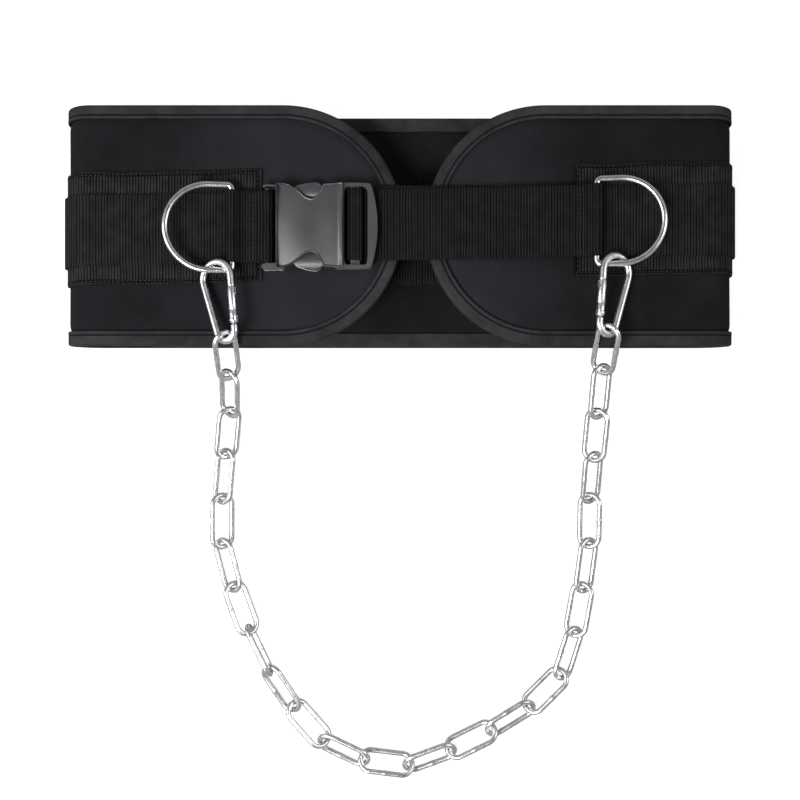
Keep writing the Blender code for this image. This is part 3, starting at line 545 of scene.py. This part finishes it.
hook = dict(wire=0.0048, bigRadius=0.0111, smallRadius=0.0069, bigCentre=0.0440, smallCentre=(0.0093, 0.0042),
            gateThick=0.0054, gateFoot=0.0124, gateTop=0.0366, pinAt=0.0150, slot=0.0024, slotLength=0.0050,
            tongue=0.0018, tongueWidth=0.76, gap=0.0003, noseReach=0.0032, pinReach=0.0018, taper=0.0007)
hookPlaces = dict(
    left=dict(origin=(-0.11632, -0.08073, 0.0527), along=(-0.09038, 0.99308, -0.07493),
              across=(0.89212, 0.11417, 0.43714)),
    right=dict(origin=(0.13773, -0.07649, 0.0538), along=(0.09029, 0.99216, -0.08646),
               across=(-0.86292, 0.12128, 0.49058)),
)


# A hook's origin and its two directions.
def atHook(side):
    spot = hookPlaces[side]
    origin = np.array(spot["origin"]) + [0, beltMiddle, 0]
    return origin, np.array(spot["along"]), np.array(spot["across"])


# Snap hook: a pear-shaped round wire, flattened at both ends into the tongues that the gate's forks straddle.
def makeHook(side, finish):
    origin, along, across = atHook(side)
    big, small = hook["bigRadius"], hook["smallRadius"]
    smallX, smallY = hook["smallCentre"]
    dx, dy = hook["bigCentre"] - smallX, -smallY
    lean = math.degrees(math.atan2(dy, dx) - math.asin((big - small) / math.hypot(dx, dy)))
    nose = hook["gateTop"] + hook["gap"]
    path = np.vstack([
        [(hook["gateTop"] - hook["noseReach"], big), (nose, big)],
        arcPoints((hook["bigCentre"], 0), big, 90, -90 + lean, 44),
        arcPoints((smallX, smallY), small, -90 + lean, -270, 34),
        [(hook["gateFoot"] - hook["gap"], big), (hook["pinAt"] + hook["pinReach"], big)]])
    path, length = evenSteps(path, 300, False)
    way = np.linspace(0, length, 300)
    firstEnd = hook["noseReach"] + hook["gap"]
    lastEnd = hook["pinAt"] + hook["pinReach"] - hook["gateFoot"] + hook["gap"]
    rest = np.minimum(way - firstEnd, length - lastEnd - way)
    full = np.clip(rest / hook["taper"] + 0.5, 0, 1)
    full = full * full * (3 - 2 * full)
    radius = hook["wire"] / 2 * (hook["tongueWidth"] * (1 - full) + full)
    thin = hook["tongue"] / 2 * (1 - full) + hook["wire"] / 2 * full
    mesh = wireMesh(path, origin, along, across, radius, 20, False, flat=thin)
    return piece("hook" + side.capitalize(), mesh, finish, sharp=50)


# Surface of revolution about an axis: (distance along, radius) pairs turned round it.
def turned(profile, origin, axis, sides=28):
    axis = np.asarray(axis, float) / np.linalg.norm(axis)
    first = np.cross(axis, [0.0, 0.0, 1.0] if abs(axis[2]) < 0.9 else [1.0, 0.0, 0.0])
    first /= np.linalg.norm(first)
    second = np.cross(axis, first)
    angle = np.linspace(0, 2 * np.pi, sides, endpoint=False)
    at, radius = np.asarray(profile, float).T
    points = (np.asarray(origin) + at[:, None, None] * axis
              + radius[:, None, None] * (np.cos(angle)[:, None] * first + np.sin(angle)[:, None] * second))
    return gridMesh(points, closeColumns=True, capEnds=True)


# Box between two corners, measured along three axes from an origin.
def boxMesh(origin, axes, low, high):
    corners = np.array([[[low[0], low[1]], [high[0], low[1]], [high[0], high[1]], [low[0], high[1]]]] * 2)
    z = np.array([low[2], high[2]])
    points = (np.asarray(origin) + corners[..., :1] * axes[0] + corners[..., 1:] * axes[1]
              + z[:, None, None] * axes[2])
    mesh = gridMesh(points, closeColumns=True, capEnds=True)
    fixed = bmesh.new()
    fixed.from_mesh(mesh)
    bmesh.ops.recalc_face_normals(fixed, faces=fixed.faces)
    fixed.to_mesh(mesh)
    fixed.free()
    return mesh


# Profiles: (distance from the foot or the top, share of the radius)
gate = dict(footProfile=((0, 0.40), (0.0003, 0.62), (0.0009, 0.86), (0.0018, 1), (0.0088, 1), (0.0090, 0.96),
                         (0.0092, 1)),
            topProfile=((0.0008, 1), (0.0003, 0.95), (0, 0.84)), slotRoom=0.0006, cutOver=0.001,
            cutWide=0.004)


# Gate: a turned bar with rounded ends, slotted at both for the tongues.
def makeGate(side, finish):
    origin, along, across = atHook(side)
    middle = origin + across * hook["bigRadius"]
    radius, foot, top, slot = hook["gateThick"] / 2, hook["gateFoot"], hook["gateTop"], hook["slot"] / 2
    profile = ([(foot + at, radius * share) for at, share in gate["footProfile"]]
               + [(top - at, radius * share) for at, share in gate["topProfile"]])
    item = piece("gate" + side.capitalize(), turned(profile, middle, along), finish)
    over, wide = gate["cutOver"], gate["cutWide"]
    long = hook["slotLength"]
    spans = ((foot - over, foot + long + gate["slotRoom"]), (top - long, top + over))
    axes = (along, across, np.cross(along, across))
    carve(item, [boxMesh(middle, axes, (low, -wide, -slot), (high, wide, slot)) for low, high in spans])
    item.data.shade_smooth()
    item.data.set_sharp_from_angle(angle=math.radians(35))
    return item


rivet = dict(dome=((0.0004, 0.0003), (0.00032, 0.0009), (0.0001, 0.0014), (-0.0001, 0.0014),
                   (-0.00011, 0.00098)))


# Rivet: a shank with two low domed heads, each point given as (height over the gate's side, radius).
def makeRivet(side, finish):
    origin, along, across = atHook(side)
    middle = origin + across * hook["bigRadius"] + along * hook["pinAt"]
    dome = [(hook["gateThick"] / 2 + rise, radius) for rise, radius in rivet["dome"]]
    profile = [(-at, radius) for at, radius in dome] + dome[::-1]
    return piece("rivet" + side.capitalize(), turned(profile, middle, np.cross(along, across), 20), finish)


chain = dict(width=0.0180, inner=0.0331, wire=0.0036, weld=0.10, weldLength=0.0016, weldAcross=4)


# Chain link: two straight sides and two half circles, with a low weld bead half-way along one side. Its place
# is read from its solid: the long and the wide direction are those in which the points spread most.
def makeLink(number, finish):
    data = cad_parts[f"link_{number:02d}"].data
    flat = np.zeros(len(data.vertices) * 3)
    data.vertices.foreach_get("co", flat)
    corners = np.unique(np.round(flat.reshape(-1, 3), 7), axis=0)
    centre = (corners.min(0) + corners.max(0)) / 2
    axes = np.linalg.svd(corners - centre, full_matrices=False)[2]
    radius = (chain["width"] - chain["wire"]) / 2
    middle = (chain["inner"] + chain["wire"]) / 2 - radius
    ends = [arcPoints((middle, 0), radius, 90, -90, 24), arcPoints((-middle, 0), radius, 270, 90, 24)]
    path, _ = evenSteps(np.vstack(ends), 96, True)
    side = 1 if number % 2 else -1
    sideways = (path[:, 1] * side - radius) / radius * chain["weldAcross"]
    far = np.hypot(path[:, 0] / chain["weldLength"], sideways)
    swell = chain["wire"] / 2 * (1 + chain["weld"] * np.exp(-far ** 2))
    mesh = wireMesh(path, centre, axes[0], axes[1], swell, 14, True)
    return piece(f"chainLink{number:02d}", mesh, finish)


buckle = dict(
    mouth=-0.0374, width=0.0562, thick=0.0128, housing=0.0438, drop=0.0008, floor=0.0006, barGap=0.0064,
    notchFrom=0.0134, notchLength=0.0195, notchDepth=0.0105, pocket=0.0444, plug=0.0226, plugThick=0.006,
    rail=0.0024, endBar=0.0042, bulge=0.0022, centreBar=0.007, centreBarFrom=0.0078, barThick=0.003,
    padHeight=0.0086, padTop=0.0023,
)
buckleY = beltMiddle + climbing(buckle["mouth"] - buckle["housing"] / 2, strap["shift"]) - buckle["drop"]


# Block with rounded edges: the outline drawn in through a quarter round at top and bottom, and then towards
# its own middle line, with a top height that is a function of x and y. The first and the last ring lie on
# that line, and a last face closes each.
def blockMesh(line, low, high, edge, topShape=None, spineEnds=0.5, rows=14):
    angle = np.radians(np.linspace(0, 90, 6))
    inset, up = edge * (1 - np.cos(angle)), np.sin(angle)
    middle = (line.min(0) + line.max(0)) / 2
    rim = line + leftOf(line) * inset[:, None, None]
    share = np.linspace(0, 1, rows)[1:, None, None]
    inner = middle + (rim[-1] - middle) * (1 - share * [spineEnds, 0.995])  # to the middle line, but for 0.5%
    top = np.concatenate([rim, inner])
    z = np.concatenate([high - edge * (1 - up), np.full(rows - 1, high)])[:, None]
    if topShape is not None:
        fade = np.concatenate([np.linspace(0, 1, len(up)) ** 2, np.ones(rows - 1)])[:, None]
        z = z + topShape(top[..., 0], top[..., 1]) * fade
    bottomZ = np.append(low + edge * (1 - up), low)[::-1, None]
    z = np.concatenate([np.broadcast_to(bottomZ, (len(up) + 1, len(line))), np.broadcast_to(z, top.shape[:2])])
    flat = np.concatenate([inner[-1:], rim[::-1], top])
    points = np.concatenate([flat, z[..., None]], -1) + [0, buckleY, frontFace]
    return gridMesh(points, closeColumns=True, capEnds=True)


# Closed smooth line through corners, in even steps.
def roundedOutline(corners, count=220, steps=6):
    closed = np.vstack([corners[-2:], corners, corners[:2]])
    smooth = smoothPath(closed, steps)
    return evenSteps(smooth[2 * steps:-2 * steps - 1], count, True)[0]


# Corners: (distance left of the mouth, the notch's start or the far end, distance in from the side)
housing = dict(
    mouthCorner=((0, 0.0026), (0.0004, 0.0008), (0.0018, 0.0004), (0.007, 0.0009)), mouthFlat=0.008,
    notchLip=((-0.0014, 0.0012), (-0.0004, 0.0016)),
    notch=((0.02, 0.35), (0.12, 0.72), (0.28, 0.97), (0.42, 1.0), (0.6, 0.86), (0.8, 0.55), (1.0, 0.30),
           (1.22, 0.12)),  # shares of the notch's length and depth
    farCorner=((-0.0012, 0.0006), (-0.0002, 0.0014), (0, 0.0035)), farFlat=0.010, edge=0.0014,
    valley=0.0009, valleyAt=-0.42, valleyLength=0.20, valleyWidth=0.5,
    slope=0.0084, slopeFrom=-0.40, crown=0.0026, lip=0.0005, lipFrom=-0.055,
)
horn = dict(
    root=((-0.004, 0.0006), (0, 0.0005), (0.004, 0.0003)),
    tip=((0.0012, 0.0002), (0.0024, 0.0009), (0.0022, 0.0026)),
    inside=((0.003, 0.0030), (0, 0.0036), (-0.004, 0.006)), low=0.0031, high=0.0078, edge=0.0008,
    rod=0.0015, rodEnd=0.001, rodLevel=0.0039,
)


# Corners at steps to the left of x and inwards from the side.
def cornersAt(x, half, steps):
    return [(x - left, half - inwards) for left, inwards in steps]


# Outline of the housing, with a scooped notch on each side.
def housingOutline():
    half, mouth = buckle["width"] / 2, buckle["mouth"]
    start, left = mouth - buckle["notchFrom"], mouth - buckle["housing"]
    long, deep = buckle["notchLength"], buckle["notchDepth"]
    notch = [(share * long, depth * deep) for share, depth in housing["notch"]]
    upper = np.array(cornersAt(mouth, half, housing["mouthCorner"])
                     + cornersAt(start, half, list(housing["notchLip"]) + notch)
                     + cornersAt(left, half, housing["farCorner"]))
    flatRight, flatLeft = half - housing["mouthFlat"], half - housing["farFlat"]
    right = np.stack([np.full(5, mouth), np.linspace(-flatRight, flatRight, 5)], -1)
    leftEdge = np.stack([np.full(5, left), np.linspace(flatLeft, -flatLeft, 5)], -1)
    return roundedOutline(np.vstack([right, upper, leftEdge, upper[::-1] * [1, -1]]), 360)


# Height of the housing's top over its level: a valley across the waist, a slope down to the far end, a crown
# from side to side and a lip at the mouth. u and v are shares of the length and of the half width.
def housingTop(x, y):
    u = (x - buckle["mouth"]) / buckle["housing"]
    v = y / (buckle["width"] / 2)
    along, across = (u - housing["valleyAt"]) / housing["valleyLength"], v / housing["valleyWidth"]
    valley = -housing["valley"] * np.exp(-along ** 2 - across ** 2)
    slope = -housing["slope"] * np.clip(housing["slopeFrom"] - u, 0, 1) ** 2
    return valley + slope - housing["crown"] * v ** 2 + housing["lip"] * (u > housing["lipFrom"])


# Housing with its two horns and the rod between them that the strap loops round.
def makeHousing(finish):
    low, high = buckle["floor"], buckle["floor"] + buckle["thick"]
    half, left = buckle["width"] / 2, buckle["mouth"] - buckle["housing"]
    barX = left - buckle["barGap"]
    shells = [blockMesh(housingOutline(), low, high, housing["edge"], housingTop)]
    corners = np.array(cornersAt(left, half, horn["root"]) + cornersAt(barX, half, horn["tip"])
                       + cornersAt(left, half, horn["inside"]))
    for side in (1, -1):
        line = roundedOutline(corners * [1, side], 90)
        shells.append(blockMesh(line, horn["low"], horn["high"], horn["edge"], spineEnds=0.2))
    end, rod = half - horn["rodEnd"], horn["rod"]
    profile = [(-end, rod - 0.0002), (-end + 0.0002, rod), (end - 0.0002, rod), (end, rod - 0.0002)]
    shells.append(turned(profile, (barX, buckleY, frontFace + horn["rodLevel"]), (0, 1, 0), 16))
    return piece("buckleHousing", shells, finish, sharp=38)


# Frame of the plug: outer and inner outline matched point by point, with a rounded section between them.
def frameMesh(outer, inner, low, high, edge):
    turn = np.radians(np.linspace(0, 90, 5))
    into = (inner - outer) / np.linalg.norm(inner - outer, axis=1)[:, None]
    flat, height = [], []
    for start, towards, level, down, angles in (
            (outer, into, high, -edge, turn), (inner, -into, high, -edge, turn[::-1]),
            (inner, -into, low, edge, turn), (outer, into, low, edge, turn[::-1])):
        for share in 1 - np.sin(angles):
            flat.append(start + towards * edge * share)
            height.append(level + down * share)
    flat = np.stack(flat, 1)
    z = np.broadcast_to(np.array(height)[None, :], flat.shape[:2])
    points = np.concatenate([flat, z[..., None]], -1) + [0, buckleY, frontFace]
    return gridMesh(points, closeRows=True, closeColumns=True)


plug = dict(
    # (distance in from the mouth or the end, distance in from the side)
    corner=((0.0075, 0.0002), (0.0045, 0.0012)), foot=((0.005, 0.0002), (-0.004, 0.0)),
    tongue=(0.0062, 0.004),
    endShare=0.80, endCurve=1.7, windowPower=10.0, windowFrom=0.0006, edge=0.0010, sideGap=0.001,
    padGap=0.0003,
)


# Plug: a frame whose window is a rounded rectangle (a curve of the tenth power), matched to the outline by
# bearing, the bar that the strap loops round, and the thumb pads.
def makePlug(finish):
    half, mouth = buckle["width"] / 2, buckle["mouth"]
    end = mouth + buckle["plug"]
    middle = buckle["floor"] + buckle["thick"] / 2
    low, high = middle - buckle["plugThick"] / 2, middle + buckle["plugThick"] / 2
    y = np.linspace(-1, 1, 9)
    arcX = end - buckle["bulge"] * plug["endCurve"] * (np.abs(y * 0.88) ** 2)
    foot = np.array(cornersAt(mouth, half, plug["foot"]))
    corner = np.array(cornersAt(end, half, plug["corner"]))
    back, short = mouth - plug["tongue"][0], half - plug["tongue"][1]
    outer = np.vstack([
        foot * [1, -1], corner * [1, -1], np.stack([arcX, y * half * plug["endShare"]], -1),
        corner[::-1], foot[::-1], [(back, short), (back, 0.0), (back, -short)]])
    windowEnd, windowStart = end - buckle["endBar"] - buckle["bulge"], mouth + plug["windowFrom"]
    middleX = (windowStart + windowEnd) / 2
    angle = np.linspace(0, 2 * np.pi, 240, endpoint=False)
    line = roundedOutline(outer, 960)
    bearing = np.arctan2(line[:, 1] / half, (line[:, 0] - middleX) / (buckle["plug"] / 2)) % (2 * np.pi)
    order = np.argsort(bearing)
    outerAt = line[order[np.searchsorted(bearing[order], angle) % len(order)]]
    wide, tall = (windowEnd - windowStart) / 2, half - buckle["rail"]
    power = plug["windowPower"]
    norm = (np.abs(np.cos(angle)) ** power + np.abs(np.sin(angle)) ** power) ** (-1 / power)
    innerAt = np.stack([middleX + wide * norm * np.cos(angle), tall * norm * np.sin(angle)], -1)
    shells = [frameMesh(outerAt, innerAt, low, high, plug["edge"])]
    barX = mouth + buckle["centreBarFrom"]
    reach, thick = buckle["centreBar"] / 2 - buckle["barThick"] / 2, buckle["barThick"] / 2
    section = np.vstack([arcPoints((-reach, 0), thick, 90, 270, 8), arcPoints((reach, 0), thick, -90, 90, 8)])
    ends = np.array([-half + plug["sideGap"], half - plug["sideGap"]])
    points = np.stack(np.broadcast_arrays(barX + section[None, :, 0], buckleY + ends[:, None],
                                          frontFace + low + thick + section[None, :, 1]), -1)
    shells.append(gridMesh(points, closeColumns=True, capEnds=True))
    padLow = middle - buckle["padHeight"] / 2 + plug["padGap"]
    for side in (1, -1):
        shells.append(padMesh(side, padLow, middle + buckle["padTop"]))
    return piece("buckleFrame", shells, finish, sharp=38)


thumb = dict(root=0.0042, step=0.0012, gap=0.0006, edge=0.0012, crown=0.0006, curve=60,
             swell=((0.10, 0.66), (0.22, 0.97), (0.45, 0.93), (0.70, 0.72), (0.90, 0.46)), tail=1.02)


# Thumb pad: the prong's rounded shoulder, in the housing's notch.
def padMesh(side, low, high):
    half, start = buckle["width"] / 2, buckle["mouth"] - buckle["notchFrom"]
    inner, long = buckle["pocket"] / 2 - thumb["gap"], buckle["notchLength"]
    corners = [(start + thumb["step"], inner - thumb["root"]), (start + thumb["step"], inner - 0.0002)]
    corners += [(start - share * long, inner + rise * (half - inner)) for share, rise in thumb["swell"]]
    tail = start - thumb["tail"] * long
    corners += [(tail, inner - 0.001), (tail, inner - thumb["root"])]
    line = roundedOutline(np.array(corners), 120)
    line = (line[::-1] if side < 0 else line) * [1, side]
    middleY = (line[:, 1].min() + line[:, 1].max()) / 2
    crown = lambda x, y: thumb["crown"] - thumb["curve"] * (y - middleY) ** 2
    return blockMesh(line[::-1], low, high, thumb["edge"], crown, spineEnds=0.3)


# Knit laminated on foam: fine loops in rows, slight mottling, and painted sheen on the upper face towards the
# tips.
def knitFinish(name, level):
    made = Finish(name, Roughness=0.88, Specular_IOR_Level=0.10)
    u, v, _ = made.parts(made.cloth())
    x, _, z = made.parts(made.place())
    loops = ((u * (2 * math.pi / 0.0011)).sin() * (v * (2 * math.pi / 0.0009)).sin()) * 0.5 + 0.5
    cloud = made.noise(made.place(), 34.0, 4.0, 0.6)
    grain = made.noise(made.place(), 900.0, 2.0, 0.6)
    # painted sheen: a lighter tone on the upper face towards the wings' tips
    paintedSheen = (1 - (x + 0.02).size().within(0.065, 0.150)) * z.within(0.025, 0.034)
    tone = cloud.within(0.3, 0.75) * 0.25 + grain * 0.25 + loops * 0.15 + paintedSheen * 0.60
    made.paint(tone, grey(level * 0.40, 0.40), grey(level * 2.6, 0.20))
    made.bump(loops * 0.6 + grain * 0.8, 0.00012)
    return made.material


# Ribbed webbing: ribs across the length, every second one stronger, each rib crossed by fine threads that
# shift by half a thread from rib to rib. A seam is a dark sunken line round a rectangle of u and v.
def ribFinish(name, level, pitch, contrast=1.0, seams=()):
    made = Finish(name, Roughness=0.75, Specular_IOR_Level=0.10)
    u, v, _ = made.parts(made.cloth())
    wander = made.noise(made.place(), 60.0, 2.0, 0.5) * 0.0006
    count = (u + wander) / pitch
    rib = (count * math.pi).sin().size()
    strong = (count * (math.pi / 2)).sin().size()
    thread = ((v / 0.00085 + count.floor() * 0.5) * math.pi).sin().size()
    ridge = (rib ** 1.1) * (0.45 + strong * 0.55)
    cloud = made.noise(made.place(), 110.0, 3.0, 0.6)
    fuzz = made.noise(made.place(), 1300.0, 2.0, 0.7)
    tone = (ridge * (0.50 + thread * 0.50) - 0.35) * contrast + 0.35
    tone = tone + (cloud - 0.5) * 0.9 + (fuzz - 0.5) * 0.35
    relief = ridge * (0.7 + thread * 0.3) + fuzz * 0.15
    for middleU, halfU, halfV in seams:
        off = ((u - middleU).size() - halfU).most(v.size() - halfV).size()
        line = 1 - off.within(0.0004, 0.0012)
        tone = tone * (1 - line)
        relief = relief - line * 2.0
    made.paint(tone.within(0.02, 0.95), grey(level * 0.06, 0.02), grey(level * 3.6, 0.02))
    made.bump(relief, 0.00055)
    return made.material


# Tape: fine twill lines across the edge, random worn tone, a dark sunken stitch line and painted shade along
# its inner edge.
def tapeFinish(name, level):
    made = Finish(name, Roughness=0.80, Specular_IOR_Level=0.15)
    u, v, _ = made.parts(made.cloth())
    twill = ((u * 0.7 + v) * (2 * math.pi / 0.0010)).sin() * 0.5 + 0.5
    cloud = made.noise(made.place(), 90.0, 3.0, 0.6)
    worn = made.noise(made.place(), 14.0, 2.0, 0.5)
    # painted shade: a dark line along the tape's inner edge, where it meets the knit
    edge = 1 - v.within(0.0004, 0.0014)
    stitched = 1 - (v - 0.0034).size().within(0.0003, 0.0009)
    tone = twill * 0.40 + cloud.within(0.3, 0.7) * 0.30 + worn.within(0.35, 0.65) * 0.30
    tone = tone * (1 - edge) * (1 - stitched)
    made.paint(tone, grey(level * 0.20, 0.15), grey(level * 2.4, 0.12))
    made.bump(twill * 0.3 - stitched - edge, 0.00040)
    return made.material


# Thread: plain, slightly uneven in tone.
def threadFinish(name, level):
    made = Finish(name, Roughness=0.6, Specular_IOR_Level=0.3)
    cloud = made.noise(made.place(), 400.0, 2.0)
    made.paint(cloud, grey(level * 0.7), grey(level * 1.4))
    return made.material


# Moulded plastic: satin, with fine spark texture and faint handling marks.
def plasticFinish(name, level):
    made = Finish(name, Specular_IOR_Level=0.75)
    grain = made.noise(made.place(), 2600.0, 2.0, 0.7)
    cloud = made.noise(made.place(), 60.0, 4.0, 0.6)
    made.paint(cloud, grey(level * 0.85, 0.10, 0.04), grey(level * 1.15, 0.10, 0.04))
    made.set("Roughness", 0.30 + cloud * 0.12)
    made.bump(grain, 0.00004)
    return made.material


# Plated steel: bright, with soft cloudy roughness and fine drawn lines.
def steelFinish(name, colour, roughness, grain):
    made = Finish(name, Metallic=1.0)
    place = made.place()
    cloud = made.noise(place, 160.0, 4.0, 0.6)
    fine = made.noise(place, 1400.0, 3.0, 0.7)
    dark = tuple(c * 0.74 for c in colour[:3]) + (1.0,)
    made.paint(cloud.within(0.25, 0.7), dark, colour)
    made.set("Roughness", roughness + (cloud - 0.5) * 0.12 + (fine - 0.5) * 0.06)
    made.bump(fine + cloud * 0.7, grain)
    return made.material


print("stage: making the finishes")
wideEnds = (loopLength(webbing["rightEnd"], 1), loopLength(webbing["leftEnd"], -1))
wideMiddle, wideHalf = (wideEnds[0] + wideEnds[1]) / 2, (wideEnds[1] - wideEnds[0]) / 2
knit = knitFinish("beltKnit", 0.0060)
tape = tapeFinish("edgeTape", 0.0150)
wideSeam = (wideMiddle, wideHalf - stitching["webInset"], webbing["width"] / 2 - stitching["webInset"])
ribPitch = 0.0020
wideRib = ribFinish("wideWebbing", 0.0072, ribPitch, seams=[wideSeam])
loadRib = ribFinish("loadWebbing", 0.0052, ribPitch)
strapRib = ribFinish("strapWebbing", 0.0036, ribPitch, 1.25)
innerRib = ribFinish("innerWebbing", 0.0050, ribPitch)
thread = threadFinish("sewingThread", 0.0130)
plastic = plasticFinish("buckleGrey", 0.038)
nickel = steelFinish("nickelPlate", (0.78, 0.76, 0.72, 1.0), 0.24, 0.000008)
zinc = steelFinish("zincPlate", (0.86, 0.87, 0.89, 1.0), 0.28, 0.00001)


view = dict(x=0.0, yFromBelt=-0.1166, z=0.640, lens=40.5)
camera = bpy.data.cameras.new("camera")
camera.lens, camera.sensor_width = view["lens"], 36.0
cameraObject = bpy.data.objects.new("camera", camera)
cameraObject.location = (view["x"], beltMiddle + view["yFromBelt"], view["z"])
bpy.context.scene.collection.objects.link(cameraObject)
bpy.context.scene.camera = cameraObject

studio = dict(floorHalf=6.0, floor=0.30, floorGlow=0.85, overhead=0.12, middle=0.38, horizon=0.30)
lights = [
    # name, place, aim, width, height, power
    ("softLeft", (-0.90, 0.10, 0.80), (0.0, 0.05, 0.0), 0.5, 0.9, 6.0),
    ("softRight", (0.90, 0.20, 0.80), (0.0, 0.05, 0.0), 0.4, 0.9, 3.5),
    ("softKey", (-0.50, -0.45, 1.05), (0.0, 0.08, 0.0), 0.5, 0.5, 17.0),
]


# Floor that glows only for the camera, a studio dome that is darker overhead, and the soft lights. The camera
# sees plain white behind the floor.
def makeStage():
    half = studio["floorHalf"]
    corners = np.array([[[-half, -half, 0], [half, -half, 0]], [[-half, half, 0], [half, half, 0]]], float)
    floor = bpy.data.objects.new("floor", gridMesh(corners.transpose(1, 0, 2)))
    bpy.context.scene.collection.objects.link(floor)
    made = Finish("paleFloor", Base_Color=grey(studio["floor"]), Roughness=0.8, Specular_IOR_Level=0.1,
                  Emission_Strength=studio["floorGlow"])
    made.set("Emission Color", made.blend(made.node("LightPath"), grey(0.0), grey(1.0)))
    floor.data.materials.append(made.material)
    world = bpy.data.worlds.new("studio")
    bpy.context.scene.world = world
    world.use_nodes = True
    background = world.node_tree.nodes["Background"]
    sky = Graph(world.node_tree)
    up = sky.parts(sky.node("TexCoord", output="Generated"))[2]
    lower = sky.blend(up.within(-0.1, 0.35), grey(studio["horizon"]), grey(studio["middle"]))
    dome = sky.blend(up.within(0.72, 0.95), lower, grey(studio["overhead"]))
    feed(world.node_tree, background.inputs["Color"], sky.blend(sky.node("LightPath"), dome, grey(1.0)))
    for name, place, aim, width, height, power in lights:
        lamp = bpy.data.lights.new(name, "AREA")
        lamp.shape, lamp.size, lamp.size_y, lamp.energy = "RECTANGLE", width, height, power
        item = bpy.data.objects.new(name, lamp)
        item.location = place
        direction = np.subtract(aim, place)
        yaw = math.atan2(direction[1], direction[0])
        pitch = math.atan2(-direction[2], math.hypot(direction[0], direction[1]))
        item.rotation_euler = (math.pi / 2 - pitch, 0, yaw - math.pi / 2)
        bpy.context.scene.collection.objects.link(item)
    scene = bpy.context.scene
    scene.view_settings.view_transform = "Standard"
    scene.view_settings.look = "None"
    scene.view_settings.exposure = 0.0


makeStage()


# Give a piece its body and hide the CAD nodes that it stands for.
def finishPiece(item, body, slot, *nodes):
    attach(item, body)
    if nodes:
        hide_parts(*nodes)
    return item


print("stage: belt")
pad = finishPiece(makeBeltPad(knit), "belt", "belt_fabric", "belt_body")
finishPiece(makeBinding(tape), "belt", "binding_tape", "edge_binding")
startS, endS = wideEnds
strapInset = 0.002
wideWeb = makeBand("wideWeb", webbing, startS, endS, webbing["shift"], wideRib)
finishPiece(wideWeb, "belt", "black_webbing", "wide_webbing")
loadStrap = makeBand("loadStrap", strap, startS + strapInset, endS - strapInset, strap["shift"], loadRib)
finishPiece(loadStrap, "belt", "black_webbing", "load_strap")
finishPiece(makeSideStrap("loopStrap", loopPath, strapRib), "belt", "black_webbing", "loop_strap")
finishPiece(makeSideStrap("adjustStrap", adjustPath, strapRib), "belt", "black_webbing", "adjusting_strap")


innerBand = dict(half=0.195, thick=0.0012, gap=0.0003)


# Band on the wearer's side of the back panel.
def makeInnerBand(finish):
    x = np.linspace(-innerBand["half"], innerBand["half"], 200)
    section = webSection(webbing["width"], innerBand["thick"])
    level = belt["backFace"] + belt["wall"] + innerBand["gap"] + innerBand["thick"] / 2
    y = beltMiddle + climbing(x, webbing["shift"])[:, None] + section[None, :, 0]
    points = np.stack(np.broadcast_arrays(x[:, None], y, level + section[None, :, 1]), -1)
    return bandPiece("innerBand", points, x, section, finish)


finishPiece(makeInnerBand(innerRib), "belt", "black_webbing", "inner_band")


# Seams: along the bound edge on both faces, round the webbing's ends and across the strap beside the rings.
def makeSeams():
    meshes = []
    top, inset = belt["bindingThick"] + belt["bindingGap"], stitching["webInset"]
    line, _ = outline(belt["bindingCover"] - stitching["fromEdge"], 2400)
    closed = np.vstack([line, line[:1]])
    points, normals = onFace(closed[:, 0], closed[:, 1], top)
    meshes.append(stitchMesh(points, normals))
    points, normals = onFace(closed[:, 0], closed[:, 1], -belt["wall"] - top)
    meshes.append(stitchMesh(points, -normals))
    half = webbing["width"] / 2 - inset
    over = webbing["under"] + webbing["thick"]
    for first, second in ((startS, startS + webbing["sewn"]), (endS, endS - webbing["sewn"])):
        turn = first + (inset if second > first else -inset)
        along, across = np.linspace(first, second, 40), np.linspace(-half, half, 40)
        for s, offset in ((along, half), (along, -half), (np.full(40, turn), across)):
            meshes.append(stitchMesh(*onFace(s, climbing(loopX(s), webbing["shift"]) + offset, over)))
    reach = strap["width"] / 2 - stitching["strapInset"]
    width = np.linspace(-reach, reach, 40)
    for x, height in strap["seams"]:
        y = beltMiddle + climbing(x, strap["shift"]) + width
        points = np.stack(np.broadcast_arrays(x, y, frontFace + height), -1)
        meshes.append(stitchMesh(points, np.tile([0.0, 0.0, 1.0], (len(y), 1))))
    return piece("seams", meshes, thread, sharp=60, merge=1e-7)


finishPiece(makeSeams(), "belt", "binding_tape")

print("stage: rings, hooks and chain")
finishPiece(makeRing("ringLeft", ring["leftX"], -1, nickel), "belt", "nickel_steel", "ring_left")
finishPiece(makeRing("ringRight", ring["rightX"], 1, nickel), "belt", "nickel_steel", "ring_right")
for side in ("left", "right"):
    finishPiece(makeHook(side, zinc), "belt", "zinc_steel", "hook_" + side)
    finishPiece(makeGate(side, zinc), side + "_gate", "zinc_steel", "gate_" + side)
    finishPiece(makeRivet(side, zinc), "belt", "zinc_steel", "pin_" + side)
for number in range(1, 25):
    finishPiece(makeLink(number, zinc), "belt", "zinc_steel", f"link_{number:02d}")

print("stage: buckle")
finishPiece(makeHousing(plastic), "belt", "grey_plastic", "buckle_socket")
finishPiece(makePlug(plastic), "belt", "grey_plastic", "buckle_plug")

print("stage: done")
